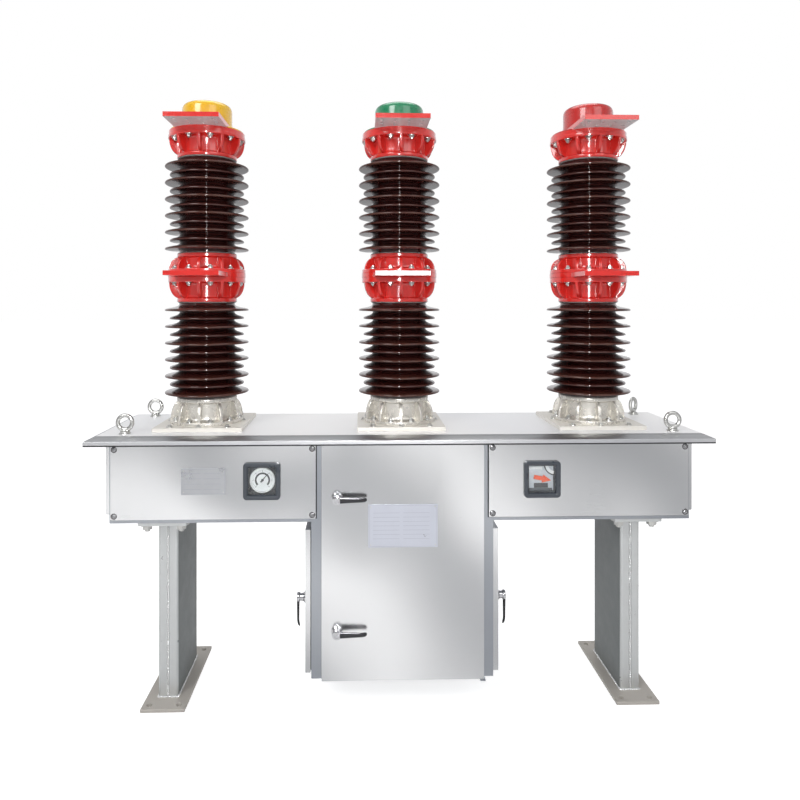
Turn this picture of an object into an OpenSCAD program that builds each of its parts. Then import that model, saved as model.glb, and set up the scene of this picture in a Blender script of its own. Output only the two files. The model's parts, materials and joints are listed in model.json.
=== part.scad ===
// Three-pole outdoor circuit breaker on two legs.
// +Z is up, -Y is the side with the operator's door, and the origin is on the ground, midway between the legs.

/* [Poles] */
// Distance between neighbouring pole axes
phase_pitch = 710; // [600:5:800]
// Radius of the porcelain between its sheds
core_r = 98; // [85:1:105]
// Radius of the wide sheds
wide_shed_r = 150; // [140:1:160]
// Radius of the narrow sheds
narrow_shed_r = 133; // [122:1:138]
// Height from one shed to the next
shed_pitch = 30; // [28:1:36]
// Number of wide sheds on one insulator
wide_sheds = 6; // [4:1:8]
// Depth that the porcelain stands in its metal collar
spigot_depth = 25; // [15:1:35]
// Radius of the bolted flanges
flange_r = 138; // [130:1:145]
// Number of ribs, and of bolts, round each casting
rib_count = 10; // [6:1:12]
// Thickness of a casting rib
rib_t = 11; // [7:1:14]
// Height of the bottom casting
base_casting_h = 91; // [75:1:110]
// Height of the casting under the lower terminal
lower_bell_h = 90; // [75:1:110]
// Height of the casting over the lower terminal
upper_bell_h = 70; // [60:1:90]
// Height of the top casting
top_casting_h = 83; // [70:1:100]
// Radius of the coloured cap's crown
cap_r = 90; // [75:1:95]
// Height of the coloured cap
cap_h = 110; // [90:1:150]

/* [Terminals] */
// Width of a terminal plate
terminal_w = 186; // [170:1:200]
// Thickness of a terminal plate
terminal_t = 16; // [10:1:20]
// Distance from a pole axis to the front edge of its terminals
terminal_reach = 235; // [200:1:240]
// Height of the disc under an upper terminal
terminal_disc_h = 15; // [8:1:20]
// Distance between neighbouring holes in a terminal
terminal_hole_pitch = 46; // [40:1:50]
// Radius of a terminal hole
terminal_hole_r = 7; // [5:0.5:8]

/* [Housing] */
// Length of the horizontal housing
housing_l = 1980; // [1900:10:2300]
// Depth of the housing and of the cabinet
housing_d = 410; // [380:5:500]
// Height of the housing's top above the ground
housing_top = 937; // [860:1:1150]
// Height of the horizontal housing
housing_h = 293; // [250:1:350]
// Thickness of the sheet steel walls
sheet_t = 4; // [2:0.5:6]
// Thickness of a folded cover panel
panel_t = 10; // [6:1:14]
// Thickness of a folded end panel
end_panel_t = 18; // [10:1:24]

/* [Roof] */
// Thickness of the roof sheet
roof_t = 3; // [2:0.5:5]
// Distance that the roof's flat top stands out past the housing at the ends
roof_end_margin = 42; // [30:1:60]
// Distance that the roof's flat top stands out past the housing at front and back
roof_side_margin = 5; // [3:1:20]
// Horizontal run of the sloping rim
roof_rim_run = 32; // [28:1:60]
// Drop of the sloping rim
roof_rim_drop = 13; // [8:1:25]
// Height of the upright lip
roof_lip_h = 12; // [6:1:20]

/* [Cabinet] */
// Width of the cabinet under the middle pole
cabinet_w = 622; // [560:2:700]
// Height of the cabinet's underside above the ground
cabinet_bottom = 111; // [80:1:200]
// Width of the front door
door_w = 550; // [480:2:560]
// Thickness of the doors
door_t = 18; // [14:1:24]
// Width of a side door
side_door_w = 370; // [300:2:370]

/* [Handles] */
// Length of a handle's lever, from the shaft's axis to its tip
lever_l = 100; // [80:1:130]
// Radius of a handle's shaft
shaft_r = 9; // [7:0.5:12]
// Distance from a door's face to the back of the lever
lever_standoff = 24; // [18:1:32]

/* [Legs] */
// Distance between the middles of the legs
leg_pitch = 1630; // [1300:10:1700]
// Width of a leg column
leg_w = 70; // [50:1:90]
// Depth of a leg column
leg_d = 262; // [200:2:300]
// Wall thickness of a leg column
leg_wall = 5; // [4:0.5:8]
// Width of a base plate
foot_w = 150; // [130:1:200]
// Depth of a base plate
foot_d = 400; // [360:2:450]
// Thickness of the base plate and of the plate at the leg's head
foot_t = 12; // [8:1:20]
// Radius of an anchor bolt hole
anchor_r = 9; // [7:0.5:11]
// Distance between anchor holes across the leg
anchor_pitch_x = 100; // [90:1:110]
// Distance between anchor holes along the base plate
anchor_pitch_y = 350; // [320:1:360]

/* [Windows] */
// Outer width of a window bezel
bezel_w = 125; // [110:1:140]
// Distance from the middle of the housing to a window
window_x = 476; // [440:1:520]

/* [Hidden] */

$fn = 64;
seat_gap = 0.3;          // space between pieces that seat in or beside each other
through = 1;             // how far a cut runs past a face

// Housing and roof heights
housing_bottom = housing_top - housing_h;
roof_top = housing_top + roof_t;
roof_l = housing_l + 2 * roof_end_margin;
roof_d = housing_d + 2 * roof_side_margin;
rim_l = roof_l + 2 * roof_rim_run;
rim_d = roof_d + 2 * roof_rim_run;
lip_bottom = roof_top - roof_rim_drop - roof_lip_h;
wing_l = (housing_l - cabinet_w) / 2;

// Pole heights
plate_w = 310;
plate_t = 14;
plate_top = roof_top + plate_t;
collar_r = core_r + 9;
flange_t = 12;
shed_lead_bottom = 16;   // plain porcelain under the lowest shed
shed_lead_top = 30;      // plain porcelain over the highest shed
porcelain_h = shed_lead_bottom + 2 * (wide_sheds - 1) * shed_pitch + shed_lead_top;
lower_porcelain_z = plate_top + base_casting_h;
lower_bell_z = lower_porcelain_z + porcelain_h;
lower_terminal_z = lower_bell_z + lower_bell_h;
upper_bell_z = lower_terminal_z + terminal_t;
upper_porcelain_z = upper_bell_z + upper_bell_h;
top_casting_z = upper_porcelain_z + porcelain_h;
top_flange_z = top_casting_z + top_casting_h;
upper_terminal_z = top_flange_z + terminal_disc_h;
terminal_tail = 40;      // distance from the pole axis to the back edge of an upper terminal
clamp_ring_r = flange_r + 1;

// Doors and door openings
door_gap = 4;            // space behind a closed door, filled by its seal
door_bottom = cabinet_bottom + 3;
door_top = lip_bottom - 5;
door_back_y = -housing_d / 2 - door_gap;
door_face_y = door_back_y - door_t;
doorway_inset = 13;      // how far a door covers the frame round its doorway
doorway_w = door_w - 2 * doorway_inset;
doorway_bottom = door_bottom + 21;
doorway_top = door_top - 15;
side_door_bottom = cabinet_bottom + 9;
side_door_top = housing_bottom - 34;
side_door_back_x = cabinet_w / 2 + door_gap;
side_door_face_x = side_door_back_x + door_t;
side_doorway_w = side_door_w - 50;
side_doorway_bottom = side_door_bottom + 30;
side_doorway_top = side_door_top - 25;

// Pivot pins of the doors
pin_r = 3;
pin_l = 12;
pin_bore_r = pin_r + 0.05;
pin_bore_depth = pin_l + 1;
pin_inset = 4;           // from the door's hinge edge to the pin's axis
pin_face_inset = 5;      // from the door's outer face to the pin's axis
bracket_t = 4;
bracket_w = 18;
bracket_gap = 1;
front_pin = [door_w / 2 - pin_inset, door_face_y + pin_face_inset];
side_pin = [side_door_face_x - pin_face_inset, side_door_w / 2 - pin_inset];

// Handles
front_handle_x = -door_w / 2 + 53;
upper_handle_z = doorway_bottom + 0.785 * (doorway_top - doorway_bottom);
lower_handle_z = doorway_bottom + 0.195 * (doorway_top - doorway_bottom);
side_handle_y = -side_door_w / 2 + 35;
side_handle_z = (side_door_bottom + side_door_top) / 2;
lever_t = 8;
shaft_gap = 0.5;         // space between the end of a handle's shaft and its door
collar_ring_r = shaft_r + 7;
collar_ring_t = 5;
lever_root_w = 22;
lever_tip_w = 15;

// Cover panels
panel_bottom = housing_bottom + 14;
panel_top = lip_bottom - 7;
panel_inner_x = door_w / 2 + 19;
panel_outer_x = housing_l / 2 - 6;
panel_y = -housing_d / 2 - panel_t;
end_panel_bottom = housing_bottom + 24;
end_panel_w = housing_d - 30;
nameplate_t = 1.5;
door_nameplate_size = [235, 145];
door_nameplate_z = 636;
panel_nameplate_size = [150, 90];
panel_nameplate_x = -672;

// Windows in the cover panels
window_z = (panel_bottom + panel_top) / 2 + 4;
bezel_t = 10;
bezel_corner_r = 12;
glass_w = bezel_w - 33;
glass_t = 3;
case_wall = 3;
case_w = glass_w + 2 * case_wall;
case_d = 46;
case_hole_w = case_w + 2 * seat_gap;
glass_y = panel_y - 4;
dial_r = 43;
dial_t = 3;
dial_y = glass_y + glass_t + 13;
needle_t = 2;
needle_gap = 2;
spindle_r = 3;
needle_y = dial_y - needle_gap - needle_t;
pointer_y = needle_y;

// Lifting eyes
eye_ring_r = 24.5;
eye_bar_r = 7;
eye_foot_r = 16;
eye_foot_h = 8;
eye_x = roof_l / 2 - 80;
eye_y = roof_d / 2 - 45;
eye_turn = [0, 0, 0, 42];  // turn of each eye about its shank

// Legs
leg_head_w = foot_w + 14;
leg_head_z = housing_bottom - foot_t;

POLES = [-phase_pitch, 0, phase_pitch];

steel = [0.80, 0.81, 0.82];
cast_metal = [0.78, 0.77, 0.74];
red_paint = [0.80, 0.10, 0.07];
porcelain = [0.16, 0.05, 0.05];

// ---- Shared shapes ----

// A box centred in X and Y on the origin, with its lowest face at z
module plate(size, z) {
    translate([-size[0] / 2, -size[1] / 2, z]) cube(size);
}

// A box between two corners
module block(low, high) {
    translate(low) cube(high - low);
}

// A pyramid's slice: a rectangle low_l by low_d that narrows to top_l by top_d over the height h
module frustum(low_l, low_d, top_l, top_d, h) {
    corners = function(l, d, z) [[-l/2, -d/2, z], [l/2, -d/2, z], [l/2, d/2, z], [-l/2, d/2, z]];
    polyhedron(
        points = concat(corners(low_l, low_d, 0), corners(top_l, top_d, h)),
        faces = [[0, 1, 2, 3], [7, 6, 5, 4], [0, 4, 5, 1], [1, 5, 6, 2], [2, 6, 7, 3], [3, 7, 4, 0]]);
}

module mirror_pair() {
    children();
    mirror([1, 0, 0]) children();
}

module rounded_square(w, r) {
    offset(r) square(w - 2 * r, center = true);
}

// ---- Roof ----

module roof_hollow() {
    translate([0, 0, roof_top - roof_rim_drop - roof_t])
        frustum(rim_l - 2 * roof_t, rim_d - 2 * roof_t, roof_l - 2, roof_d - 2, roof_rim_drop);
    plate([rim_l - 2 * roof_t, rim_d - 2 * roof_t, roof_lip_h - roof_t + through], lip_bottom - through);
}

module roof_cover() {
    color(steel) difference() {
        union() {
            translate([0, 0, roof_top - roof_rim_drop])
                frustum(rim_l, rim_d, roof_l, roof_d, roof_rim_drop);
            plate([rim_l, rim_d, roof_lip_h], lip_bottom);
        }
        roof_hollow();
    }
}

module lifting_eye(turn) {
    rotate([0, 0, turn]) {
        cylinder(r = eye_foot_r, h = eye_foot_h);
        translate([0, 0, eye_foot_h + eye_ring_r + eye_bar_r - 2]) rotate([90, 0, 0])
            rotate_extrude() translate([eye_ring_r, 0]) circle(r = eye_bar_r, $fn = 32);
    }
}

module lifting_eyes() {
    places = [[-eye_x, -eye_y], [-eye_x, eye_y], [eye_x, -eye_y], [eye_x, eye_y]];
    color(steel) for (i = [0 : 3])
        translate([places[i][0], places[i][1], roof_top]) lifting_eye(eye_turn[i]);
}

// ---- Housing ----

// The right wing: a trough that the roof closes from above and the cabinet's wall closes at its inner end
module housing() {
    color(steel) difference() {
        block([cabinet_w / 2, -housing_d / 2, housing_bottom], [housing_l / 2, housing_d / 2, housing_top]);
        block([cabinet_w / 2 - through, -housing_d / 2 + sheet_t, housing_bottom + sheet_t],
            [housing_l / 2 - sheet_t, housing_d / 2 - sheet_t, housing_top + through]);
        window_cut(-housing_d / 2 - through, sheet_t + 2 * through);
    }
}

// The hole that a window's case passes through, from y on over a depth
module window_cut(y, depth) {
    block([window_x - case_hole_w / 2, y, window_z - case_hole_w / 2],
        [window_x + case_hole_w / 2, y + depth, window_z + case_hole_w / 2]);
}

module front_panels() {
    color(steel) mirror_pair() difference() {
        block([panel_inner_x, panel_y, panel_bottom], [panel_outer_x, -housing_d / 2, panel_top]);
        window_cut(panel_y - through, panel_t + 2 * through);
    }
}

module back_panels() {
    color(steel) mirror_pair()
        block([panel_inner_x, housing_d / 2, panel_bottom], [panel_outer_x, -panel_y, panel_top]);
}

module end_panels() {
    color(steel) mirror_pair()
        block([housing_l / 2, -end_panel_w / 2, end_panel_bottom],
            [housing_l / 2 + end_panel_t, end_panel_w / 2, panel_top]);
}

// ---- Cabinet ----

module cabinet_front_frame() {
    color(steel) difference() {
        block([-cabinet_w / 2, -housing_d / 2, cabinet_bottom],
            [cabinet_w / 2, -housing_d / 2 + sheet_t, housing_top]);
        block([-doorway_w / 2, -housing_d / 2 - through, doorway_bottom],
            [doorway_w / 2, -housing_d / 2 + sheet_t + through, doorway_top]);
    }
}

// The two side walls, each with the doorway of its side door
module cabinet_side_walls() {
    color(steel) mirror_pair() difference() {
        block([cabinet_w / 2 - sheet_t, -housing_d / 2 + sheet_t, cabinet_bottom],
            [cabinet_w / 2, housing_d / 2 - sheet_t, housing_top]);
        block([cabinet_w / 2 - sheet_t - through, -side_doorway_w / 2, side_doorway_bottom],
            [cabinet_w / 2 + through, side_doorway_w / 2, side_doorway_top]);
    }
}

module cabinet_back_wall() {
    color(steel) block([-cabinet_w / 2, housing_d / 2 - sheet_t, cabinet_bottom],
        [cabinet_w / 2, housing_d / 2, housing_top]);
}

module cabinet_floor() {
    color(steel) plate([cabinet_w - 2 * sheet_t, housing_d - 2 * sheet_t, sheet_t], cabinet_bottom);
}

// A bracket over or under a door's hinge corner, with the pin that the door turns on.
// It reaches along +Y from the pin to the cabinet, and dir is -1 where the pin points down.
module pivot(reach, dir) {
    translate([-bracket_w / 2, -bracket_w / 2, dir > 0 ? -bracket_t : 0])
        cube([bracket_w, bracket_w / 2 + reach, bracket_t]);
    translate([0, 0, dir > 0 ? 0 : -pin_l]) cylinder(r = pin_r, h = pin_l);
}

module door_pivots() {
    front_reach = -housing_d / 2 - front_pin[1];
    side_reach = side_pin[0] - cabinet_w / 2;
    color(steel) {
        translate([front_pin[0], front_pin[1], door_top + bracket_gap]) pivot(front_reach, -1);
        translate([front_pin[0], front_pin[1], door_bottom - bracket_gap]) pivot(front_reach, 1);
        mirror_pair() {
            translate([side_pin[0], side_pin[1], side_door_top + bracket_gap])
                rotate([0, 0, 90]) pivot(side_reach, -1);
            translate([side_pin[0], side_pin[1], side_door_bottom - bracket_gap])
                rotate([0, 0, 90]) pivot(side_reach, 1);
        }
    }
}

// Bores for the pins at the top and bottom of a door's hinge edge
module pin_bores(pin, bottom, top) {
    translate([pin[0], pin[1], bottom - through]) cylinder(r = pin_bore_r, h = pin_bore_depth + through);
    translate([pin[0], pin[1], top - pin_bore_depth]) cylinder(r = pin_bore_r, h = pin_bore_depth + through);
}

module front_door() {
    color(steel) difference() {
        block([-door_w / 2, door_face_y, door_bottom], [door_w / 2, door_back_y, door_top]);
        pin_bores(front_pin, door_bottom, door_top);
    }
}

// The right side door
module side_door() {
    color(steel) difference() {
        block([side_door_back_x, -side_door_w / 2, side_door_bottom],
            [side_door_face_x, side_door_w / 2, side_door_top]);
        pin_bores(side_pin, side_door_bottom, side_door_top);
    }
}

// A handle whose shaft stands on the plane y = 0 and points along -Y, with its lever along +X
module handle() {
    color([0.6, 0.6, 0.62]) {
        translate([0, -shaft_gap, 0]) rotate([90, 0, 0]) {
            cylinder(r = collar_ring_r, h = collar_ring_t);
            cylinder(r = shaft_r, h = lever_standoff + lever_t - shaft_gap);
        }
        translate([0, -lever_standoff, 0]) rotate([90, 0, 0]) linear_extrude(lever_t) lever_outline();
    }
}

module lever_outline() {
    circle(d = lever_root_w);
    polygon([[0, -lever_root_w / 2], [lever_l - lever_tip_w / 2, -lever_tip_w / 2],
        [lever_l - lever_tip_w / 2, lever_tip_w / 2], [0, lever_root_w / 2]]);
    translate([lever_l - lever_tip_w / 2, 0]) circle(d = lever_tip_w);
}

module front_handle(z) {
    translate([front_handle_x, door_face_y, z]) handle();
}

// The right side door's handle, with its lever hanging down
module side_handle() {
    translate([side_door_face_x, side_handle_y, side_handle_z])
        rotate([0, 0, 90]) rotate([0, 90, 0]) handle();
}

module door_nameplate() {
    color(steel) translate([0, door_face_y - nameplate_t, door_nameplate_z - door_nameplate_size[1] / 2])
        translate([-door_nameplate_size[0] / 2, 0, 0])
            cube([door_nameplate_size[0], nameplate_t, door_nameplate_size[1]]);
}

module panel_nameplate() {
    color(steel) translate([panel_nameplate_x - panel_nameplate_size[0] / 2, panel_y - nameplate_t,
        window_z - panel_nameplate_size[1] / 2])
            cube([panel_nameplate_size[0], nameplate_t, panel_nameplate_size[1]]);
}

// ---- Windows: each is drawn about the middle of its bezel, with y as in the whole object ----

module at_window(side) {
    translate([side * window_x, 0, window_z]) children();
}

// A square outline pushed back from y over a depth
module pushed_back(y, depth) {
    translate([0, y + depth, 0]) rotate([90, 0, 0]) linear_extrude(depth) children();
}

module window_cases() {
    color([0.25, 0.29, 0.36]) for (side = [-1, 1]) at_window(side) difference() {
        union() {
            pushed_back(panel_y - bezel_t, bezel_t) rounded_square(bezel_w, bezel_corner_r);
            pushed_back(panel_y - through, case_d + through) square(case_w, center = true);
        }
        pushed_back(panel_y - bezel_t - through, bezel_t + case_d - case_wall + through)
            square(glass_w, center = true);
    }
}

module window_glasses() {
    color([0.8, 0.9, 0.95, 0.3]) for (side = [-1, 1]) at_window(side)
        pushed_back(glass_y, glass_t) square(glass_w - 2 * seat_gap, center = true);
}

// The gauge's face stands on a stem from the back of its case
module gauge_dial() {
    stem_end = panel_y + case_d - case_wall;
    color("white") difference() {
        union() {
            pushed_back(dial_y, dial_t) circle(r = dial_r);
            pushed_back(dial_y + dial_t, stem_end - dial_y - dial_t) circle(r = dial_r / 2);
        }
        pushed_back(dial_y - through, 8 + through) circle(r = spindle_r + 0.05);
    }
}

module spindle(y, depth) {
    pushed_back(y, depth) circle(r = spindle_r);
}

module gauge_needle() {
    color("black") {
        rotate([0, 40, 0]) pushed_back(needle_y, needle_t)
            polygon([[-4, -14], [4, -14], [1.5, dial_r - 10], [-1.5, dial_r - 10]]);
        spindle(needle_y - 2, dial_y - needle_y + 9);
    }
}

module indicator_plate() {
    stem_end = panel_y + case_d - case_wall;
    face_w = glass_w - 8;
    color("white") difference() {
        union() {
            pushed_back(dial_y, dial_t) square(face_w, center = true);
            pushed_back(dial_y + dial_t, stem_end - dial_y - dial_t) square(face_w / 2, center = true);
        }
        pushed_back(dial_y - through, 8 + through) circle(r = spindle_r + 0.05);
    }
}

// The arrow that shows whether the breaker is open or closed
module position_pointer() {
    reach = glass_w / 2 - 12;
    color(red_paint) {
        rotate([0, 12, 0]) pushed_back(pointer_y, needle_t) polygon([[-reach + 8, -7], [4, -7], [4, -14],
            [reach, 0], [4, 14], [4, 7], [-reach + 8, 7]]);
        spindle(pointer_y - 2, dial_y - pointer_y + 9);
    }
}

// ---- Legs ----

module leg() {
    color(steel) difference() {
        union() {
            plate([foot_w, foot_d, foot_t], 0);
            plate([leg_w, leg_d, leg_head_z], 0);
            plate([leg_head_w, foot_d, foot_t], leg_head_z);
        }
        plate([leg_w - 2 * leg_wall, leg_d - 2 * leg_wall, leg_head_z - foot_t], foot_t);
        for (x = [-0.5, 0.5], y = [-0.5, 0.5])
            translate([x * anchor_pitch_x, y * anchor_pitch_y, -through])
                cylinder(r = anchor_r, h = foot_t + 2 * through);
    }
}

// ---- Poles ----

module pole_mounting_plates() {
    color(cast_metal) for (x = POLES) translate([x, 0, 0]) plate([plate_w, plate_w, plate_t], roof_top);
}

// A casting h tall with its flange at the bottom, its collar at the top, and the hollow that holds the porcelain
module casting(h, flange, rim_r) {
    difference() {
        union() {
            cylinder(r = rim_r, h = flange);
            cylinder(r = collar_r, h = h);
            for (i = [0 : rib_count - 1]) rotate([0, 0, (i + 0.5) * 360 / rib_count]) rib(h, flange, rim_r);
        }
        translate([0, 0, h - spigot_depth]) cylinder(r = core_r + seat_gap, h = spigot_depth + through);
    }
}

// A rib whose outer edge rounds inward from the flange to the collar
module rib(h, flange, rim_r) {
    reach = rim_r - 2 - collar_r;
    rise = h - flange - 14;
    steps = 6;
    edge = [for (i = [0 : steps]) [collar_r + reach * cos(i * 90 / steps), flange + rise * sin(i * 90 / steps)]];
    rotate([90, 0, 0]) translate([0, 0, -rib_t / 2]) linear_extrude(rib_t)
        polygon(concat([[collar_r - 3, flange - 1], [collar_r + reach, flange - 1]], edge,
            [[collar_r - 3, flange + rise]]));
}

module pole_base_castings() {
    color(cast_metal) for (x = POLES) translate([x, 0, plate_top]) casting(base_casting_h, flange_t, flange_r - 6);
}

// The casting under the lower terminal hangs from its flange, and the one over it stands on its flange
module centre_castings() {
    color(red_paint) for (x = POLES) translate([x, 0, 0]) {
        translate([0, 0, lower_terminal_z]) mirror([0, 0, 1]) casting(lower_bell_h, 19, flange_r);
        translate([0, 0, upper_bell_z]) casting(upper_bell_h, 13, flange_r);
    }
}

module top_castings() {
    color(red_paint) for (x = POLES) translate([x, 0, top_flange_z]) mirror([0, 0, 1])
        casting(top_casting_h, flange_t, flange_r);
}

// One shed's outline, from the porcelain under it to the porcelain over it, with its rim at height z
function shed_outline(z, r) = [
    [core_r, z - 9], [core_r + 6, z - 5], [r - 4, z - 3.5], [r, z - 1], [r, z + 2], [r - 4, z + 4],
    [core_r + 9, z + 13], [core_r, z + 18]];

function sheds() = [for (i = [0 : 2 * (wide_sheds - 1)])
    each shed_outline(shed_lead_bottom + i * shed_pitch, i % 2 == 0 ? wide_shed_r : narrow_shed_r)];

// A porcelain insulator whose collar's edge is at height z
module insulator(z) {
    color(porcelain) translate([0, 0, z]) rotate_extrude()
        polygon(concat([[0, -spigot_depth], [core_r, -spigot_depth]], sheds(),
            [[core_r, porcelain_h + spigot_depth], [0, porcelain_h + spigot_depth]]));
}

// Eight holes in two rows, by the plate's front edge
module terminal_holes(z) {
    for (column = [-1.5 : 1.5], row = [0, 1])
        translate([column * terminal_hole_pitch, -terminal_reach + 30 + row * terminal_hole_pitch, z - through])
            cylinder(r = terminal_hole_r, h = terminal_t + 2 * through);
}

// The lower terminal's round end is clamped between the centre castings
module lower_terminal() {
    difference() {
        union() {
            translate([0, 0, lower_terminal_z]) cylinder(r = clamp_ring_r, h = terminal_t);
            block([-terminal_w / 2, -terminal_reach, lower_terminal_z],
                [terminal_w / 2, 0, lower_terminal_z + terminal_t]);
        }
        terminal_holes(lower_terminal_z);
    }
}

// The upper terminal's plate stands on a disc between the top casting and the cap
module upper_terminal() {
    difference() {
        union() {
            block([-terminal_w / 2, -terminal_reach, upper_terminal_z],
                [terminal_w / 2, -terminal_tail, upper_terminal_z + terminal_t]);
            translate([0, 0, top_flange_z]) cylinder(r = flange_r - 2, h = terminal_disc_h);
        }
        terminal_holes(upper_terminal_z);
    }
}

module terminals() {
    color(red_paint) {
        lower_terminal();
        upper_terminal();
    }
}

// A hat with a flared brim, cut away at the front where the upper terminal goes into it
module cap() {
    brim_r = flange_r - 6;
    brim_t = 6;
    flare = 26;
    shoulder = 26;
    flare_edge = [for (a = [0 : 18 : 90]) [cap_r + flare - flare * sin(a), brim_t + flare - flare * cos(a)]];
    shoulder_edge = [for (a = [0 : 15 : 90])
        [cap_r - shoulder + shoulder * cos(a), cap_h - shoulder + shoulder * sin(a)]];
    translate([0, 0, upper_terminal_z]) difference() {
        rotate_extrude() polygon(concat([[0, 0], [brim_r, 0], [brim_r, brim_t]], flare_edge, shoulder_edge,
            [[0, cap_h]]));
        block([-terminal_w / 2 - seat_gap, -flange_r, -through],
            [terminal_w / 2 + seat_gap, -terminal_tail + seat_gap, terminal_t + seat_gap]);
    }
}

// ---- Assembly ----

module at_pole(i) {
    translate([POLES[i], 0, 0]) children();
}

module left() {
    mirror([1, 0, 0]) children();
}

roof_cover();
left() housing();  // left_housing
housing();  // right_housing
front_panels();
back_panels();
end_panels();
cabinet_front_frame();
cabinet_side_walls();
cabinet_back_wall();
cabinet_floor();
door_pivots();
front_door();
left() side_door();  // left_side_door
side_door();  // right_side_door
front_handle(upper_handle_z);  // upper_front_handle
front_handle(lower_handle_z);  // lower_front_handle
left() side_handle();  // left_side_handle
side_handle();  // right_side_handle
door_nameplate();
panel_nameplate();
window_cases();
window_glasses();
at_window(-1) gauge_dial();
at_window(-1) gauge_needle();
at_window(1) indicator_plate();
at_window(1) position_pointer();
lifting_eyes();
translate([-leg_pitch / 2, 0, 0]) leg();  // left_leg
translate([leg_pitch / 2, 0, 0]) leg();  // right_leg
pole_mounting_plates();
pole_base_castings();
at_pole(0) insulator(lower_porcelain_z);  // left_lower_insulator
at_pole(1) insulator(lower_porcelain_z);  // middle_lower_insulator
at_pole(2) insulator(lower_porcelain_z);  // right_lower_insulator
centre_castings();
at_pole(0) insulator(upper_porcelain_z);  // left_upper_insulator
at_pole(1) insulator(upper_porcelain_z);  // middle_upper_insulator
at_pole(2) insulator(upper_porcelain_z);  // right_upper_insulator
top_castings();
at_pole(0) terminals();  // left_terminals
at_pole(1) terminals();  // middle_terminals
at_pole(2) terminals();  // right_terminals
color("gold") at_pole(0) cap();  // left_cap
color("seagreen") at_pole(1) cap();  // middle_cap
color("firebrick") at_pole(2) cap();  // right_cap
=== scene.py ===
"""The finish of a three-pole outdoor circuit breaker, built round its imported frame."""

import json
import math

import bmesh
import bpy
from mathutils import Matrix, Vector


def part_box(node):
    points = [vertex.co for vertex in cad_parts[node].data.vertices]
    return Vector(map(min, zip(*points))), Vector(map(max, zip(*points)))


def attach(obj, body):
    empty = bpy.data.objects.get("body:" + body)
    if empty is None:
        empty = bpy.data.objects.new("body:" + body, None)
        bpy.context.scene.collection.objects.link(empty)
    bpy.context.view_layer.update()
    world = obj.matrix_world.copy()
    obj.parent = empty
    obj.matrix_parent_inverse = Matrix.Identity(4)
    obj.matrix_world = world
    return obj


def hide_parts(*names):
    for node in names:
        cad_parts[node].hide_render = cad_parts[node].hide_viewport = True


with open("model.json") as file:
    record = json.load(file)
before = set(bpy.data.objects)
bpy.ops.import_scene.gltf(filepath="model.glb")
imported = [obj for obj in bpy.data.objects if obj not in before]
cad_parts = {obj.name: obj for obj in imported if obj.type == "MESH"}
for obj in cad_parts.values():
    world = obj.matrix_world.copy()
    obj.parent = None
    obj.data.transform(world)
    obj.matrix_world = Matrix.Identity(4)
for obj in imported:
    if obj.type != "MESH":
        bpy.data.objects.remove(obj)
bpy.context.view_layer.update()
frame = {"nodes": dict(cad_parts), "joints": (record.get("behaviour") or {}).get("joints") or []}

MM = 0.001
SIDES = ("left", "middle", "right")
TURN = 2 * math.pi


# ---- The frame's own sizes ----

def middle(node):
    low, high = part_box(node)
    return (low + high) / 2


POLE_X = [middle(f"{side}_lower_insulator").x for side in SIDES]
ROOF_LOW, ROOF_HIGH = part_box("roof_cover")
PLATE_LOW, PLATE_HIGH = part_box("pole_mounting_plates")
DOOR_LOW, DOOR_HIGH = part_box("front_door")
PANEL_LOW, PANEL_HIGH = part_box("front_panels")
CASE_LOW, CASE_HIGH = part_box("window_cases")
SHED_LOW, SHED_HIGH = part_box("middle_lower_insulator")
WIDE_SHED = SHED_HIGH.x
BASE_LOW, BASE_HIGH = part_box("pole_base_castings")
CENTRE_LOW, CENTRE_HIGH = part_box("centre_castings")
TOP_LOW, TOP_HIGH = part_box("top_castings")
CAP_LOW, CAP_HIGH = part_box("middle_cap")
TERMINAL_LOW, TERMINAL_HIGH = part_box("middle_terminals")
JOINT = {joint["child"]: Vector(joint["pos_m"]) for joint in frame["joints"]}

CORE = 98 * MM             # porcelain between the sheds
NARROW_SHED = 133 * MM
SHED_PITCH = 30 * MM
SHED_COUNT = 11
SPIGOT = 25 * MM           # porcelain hidden in each collar
COLLAR = 107 * MM
FLANGE = TOP_HIGH.x - POLE_X[2]
BASE_FLANGE = BASE_HIGH.x - POLE_X[2]
RIBS = 10
TERMINAL_T = 16 * MM
DISC_H = 15 * MM


# ---- Meshes ----

def piece(name, mesh, material, body="frame", stands_for=()):
    """Puts a mesh in the scene as one piece of the object, on its body."""
    if isinstance(mesh, bmesh.types.BMesh):
        solid, mesh = mesh, bpy.data.meshes.new(name)
        solid.to_mesh(mesh)
        solid.free()
    item = bpy.data.objects.new(name, mesh)
    bpy.context.scene.collection.objects.link(item)
    if material and not mesh.materials:
        mesh.materials.append(material)
    return ride(item, body, stands_for)


def ride(item, body="frame", stands_for=()):
    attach(item, body)
    if stands_for:
        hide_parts(*stands_for)
    return item


def smooth(mesh, angle=35):
    """Shades a mesh smooth but for edges sharper than the angle, in degrees."""
    mesh.shade_smooth()
    mesh.set_sharp_from_angle(angle=math.radians(angle))


def baked(item):
    """The item's mesh with its modifiers applied, as a new mesh; the item itself goes."""
    graph = bpy.context.evaluated_depsgraph_get()
    graph.update()
    mesh = bpy.data.meshes.new_from_object(item.evaluated_get(graph))
    bpy.data.objects.remove(item)
    return mesh


def loose(mesh):
    """An object in the scene that isn't a piece yet."""
    item = bpy.data.objects.new("loose", mesh)
    bpy.context.scene.collection.objects.link(item)
    return item


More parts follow.
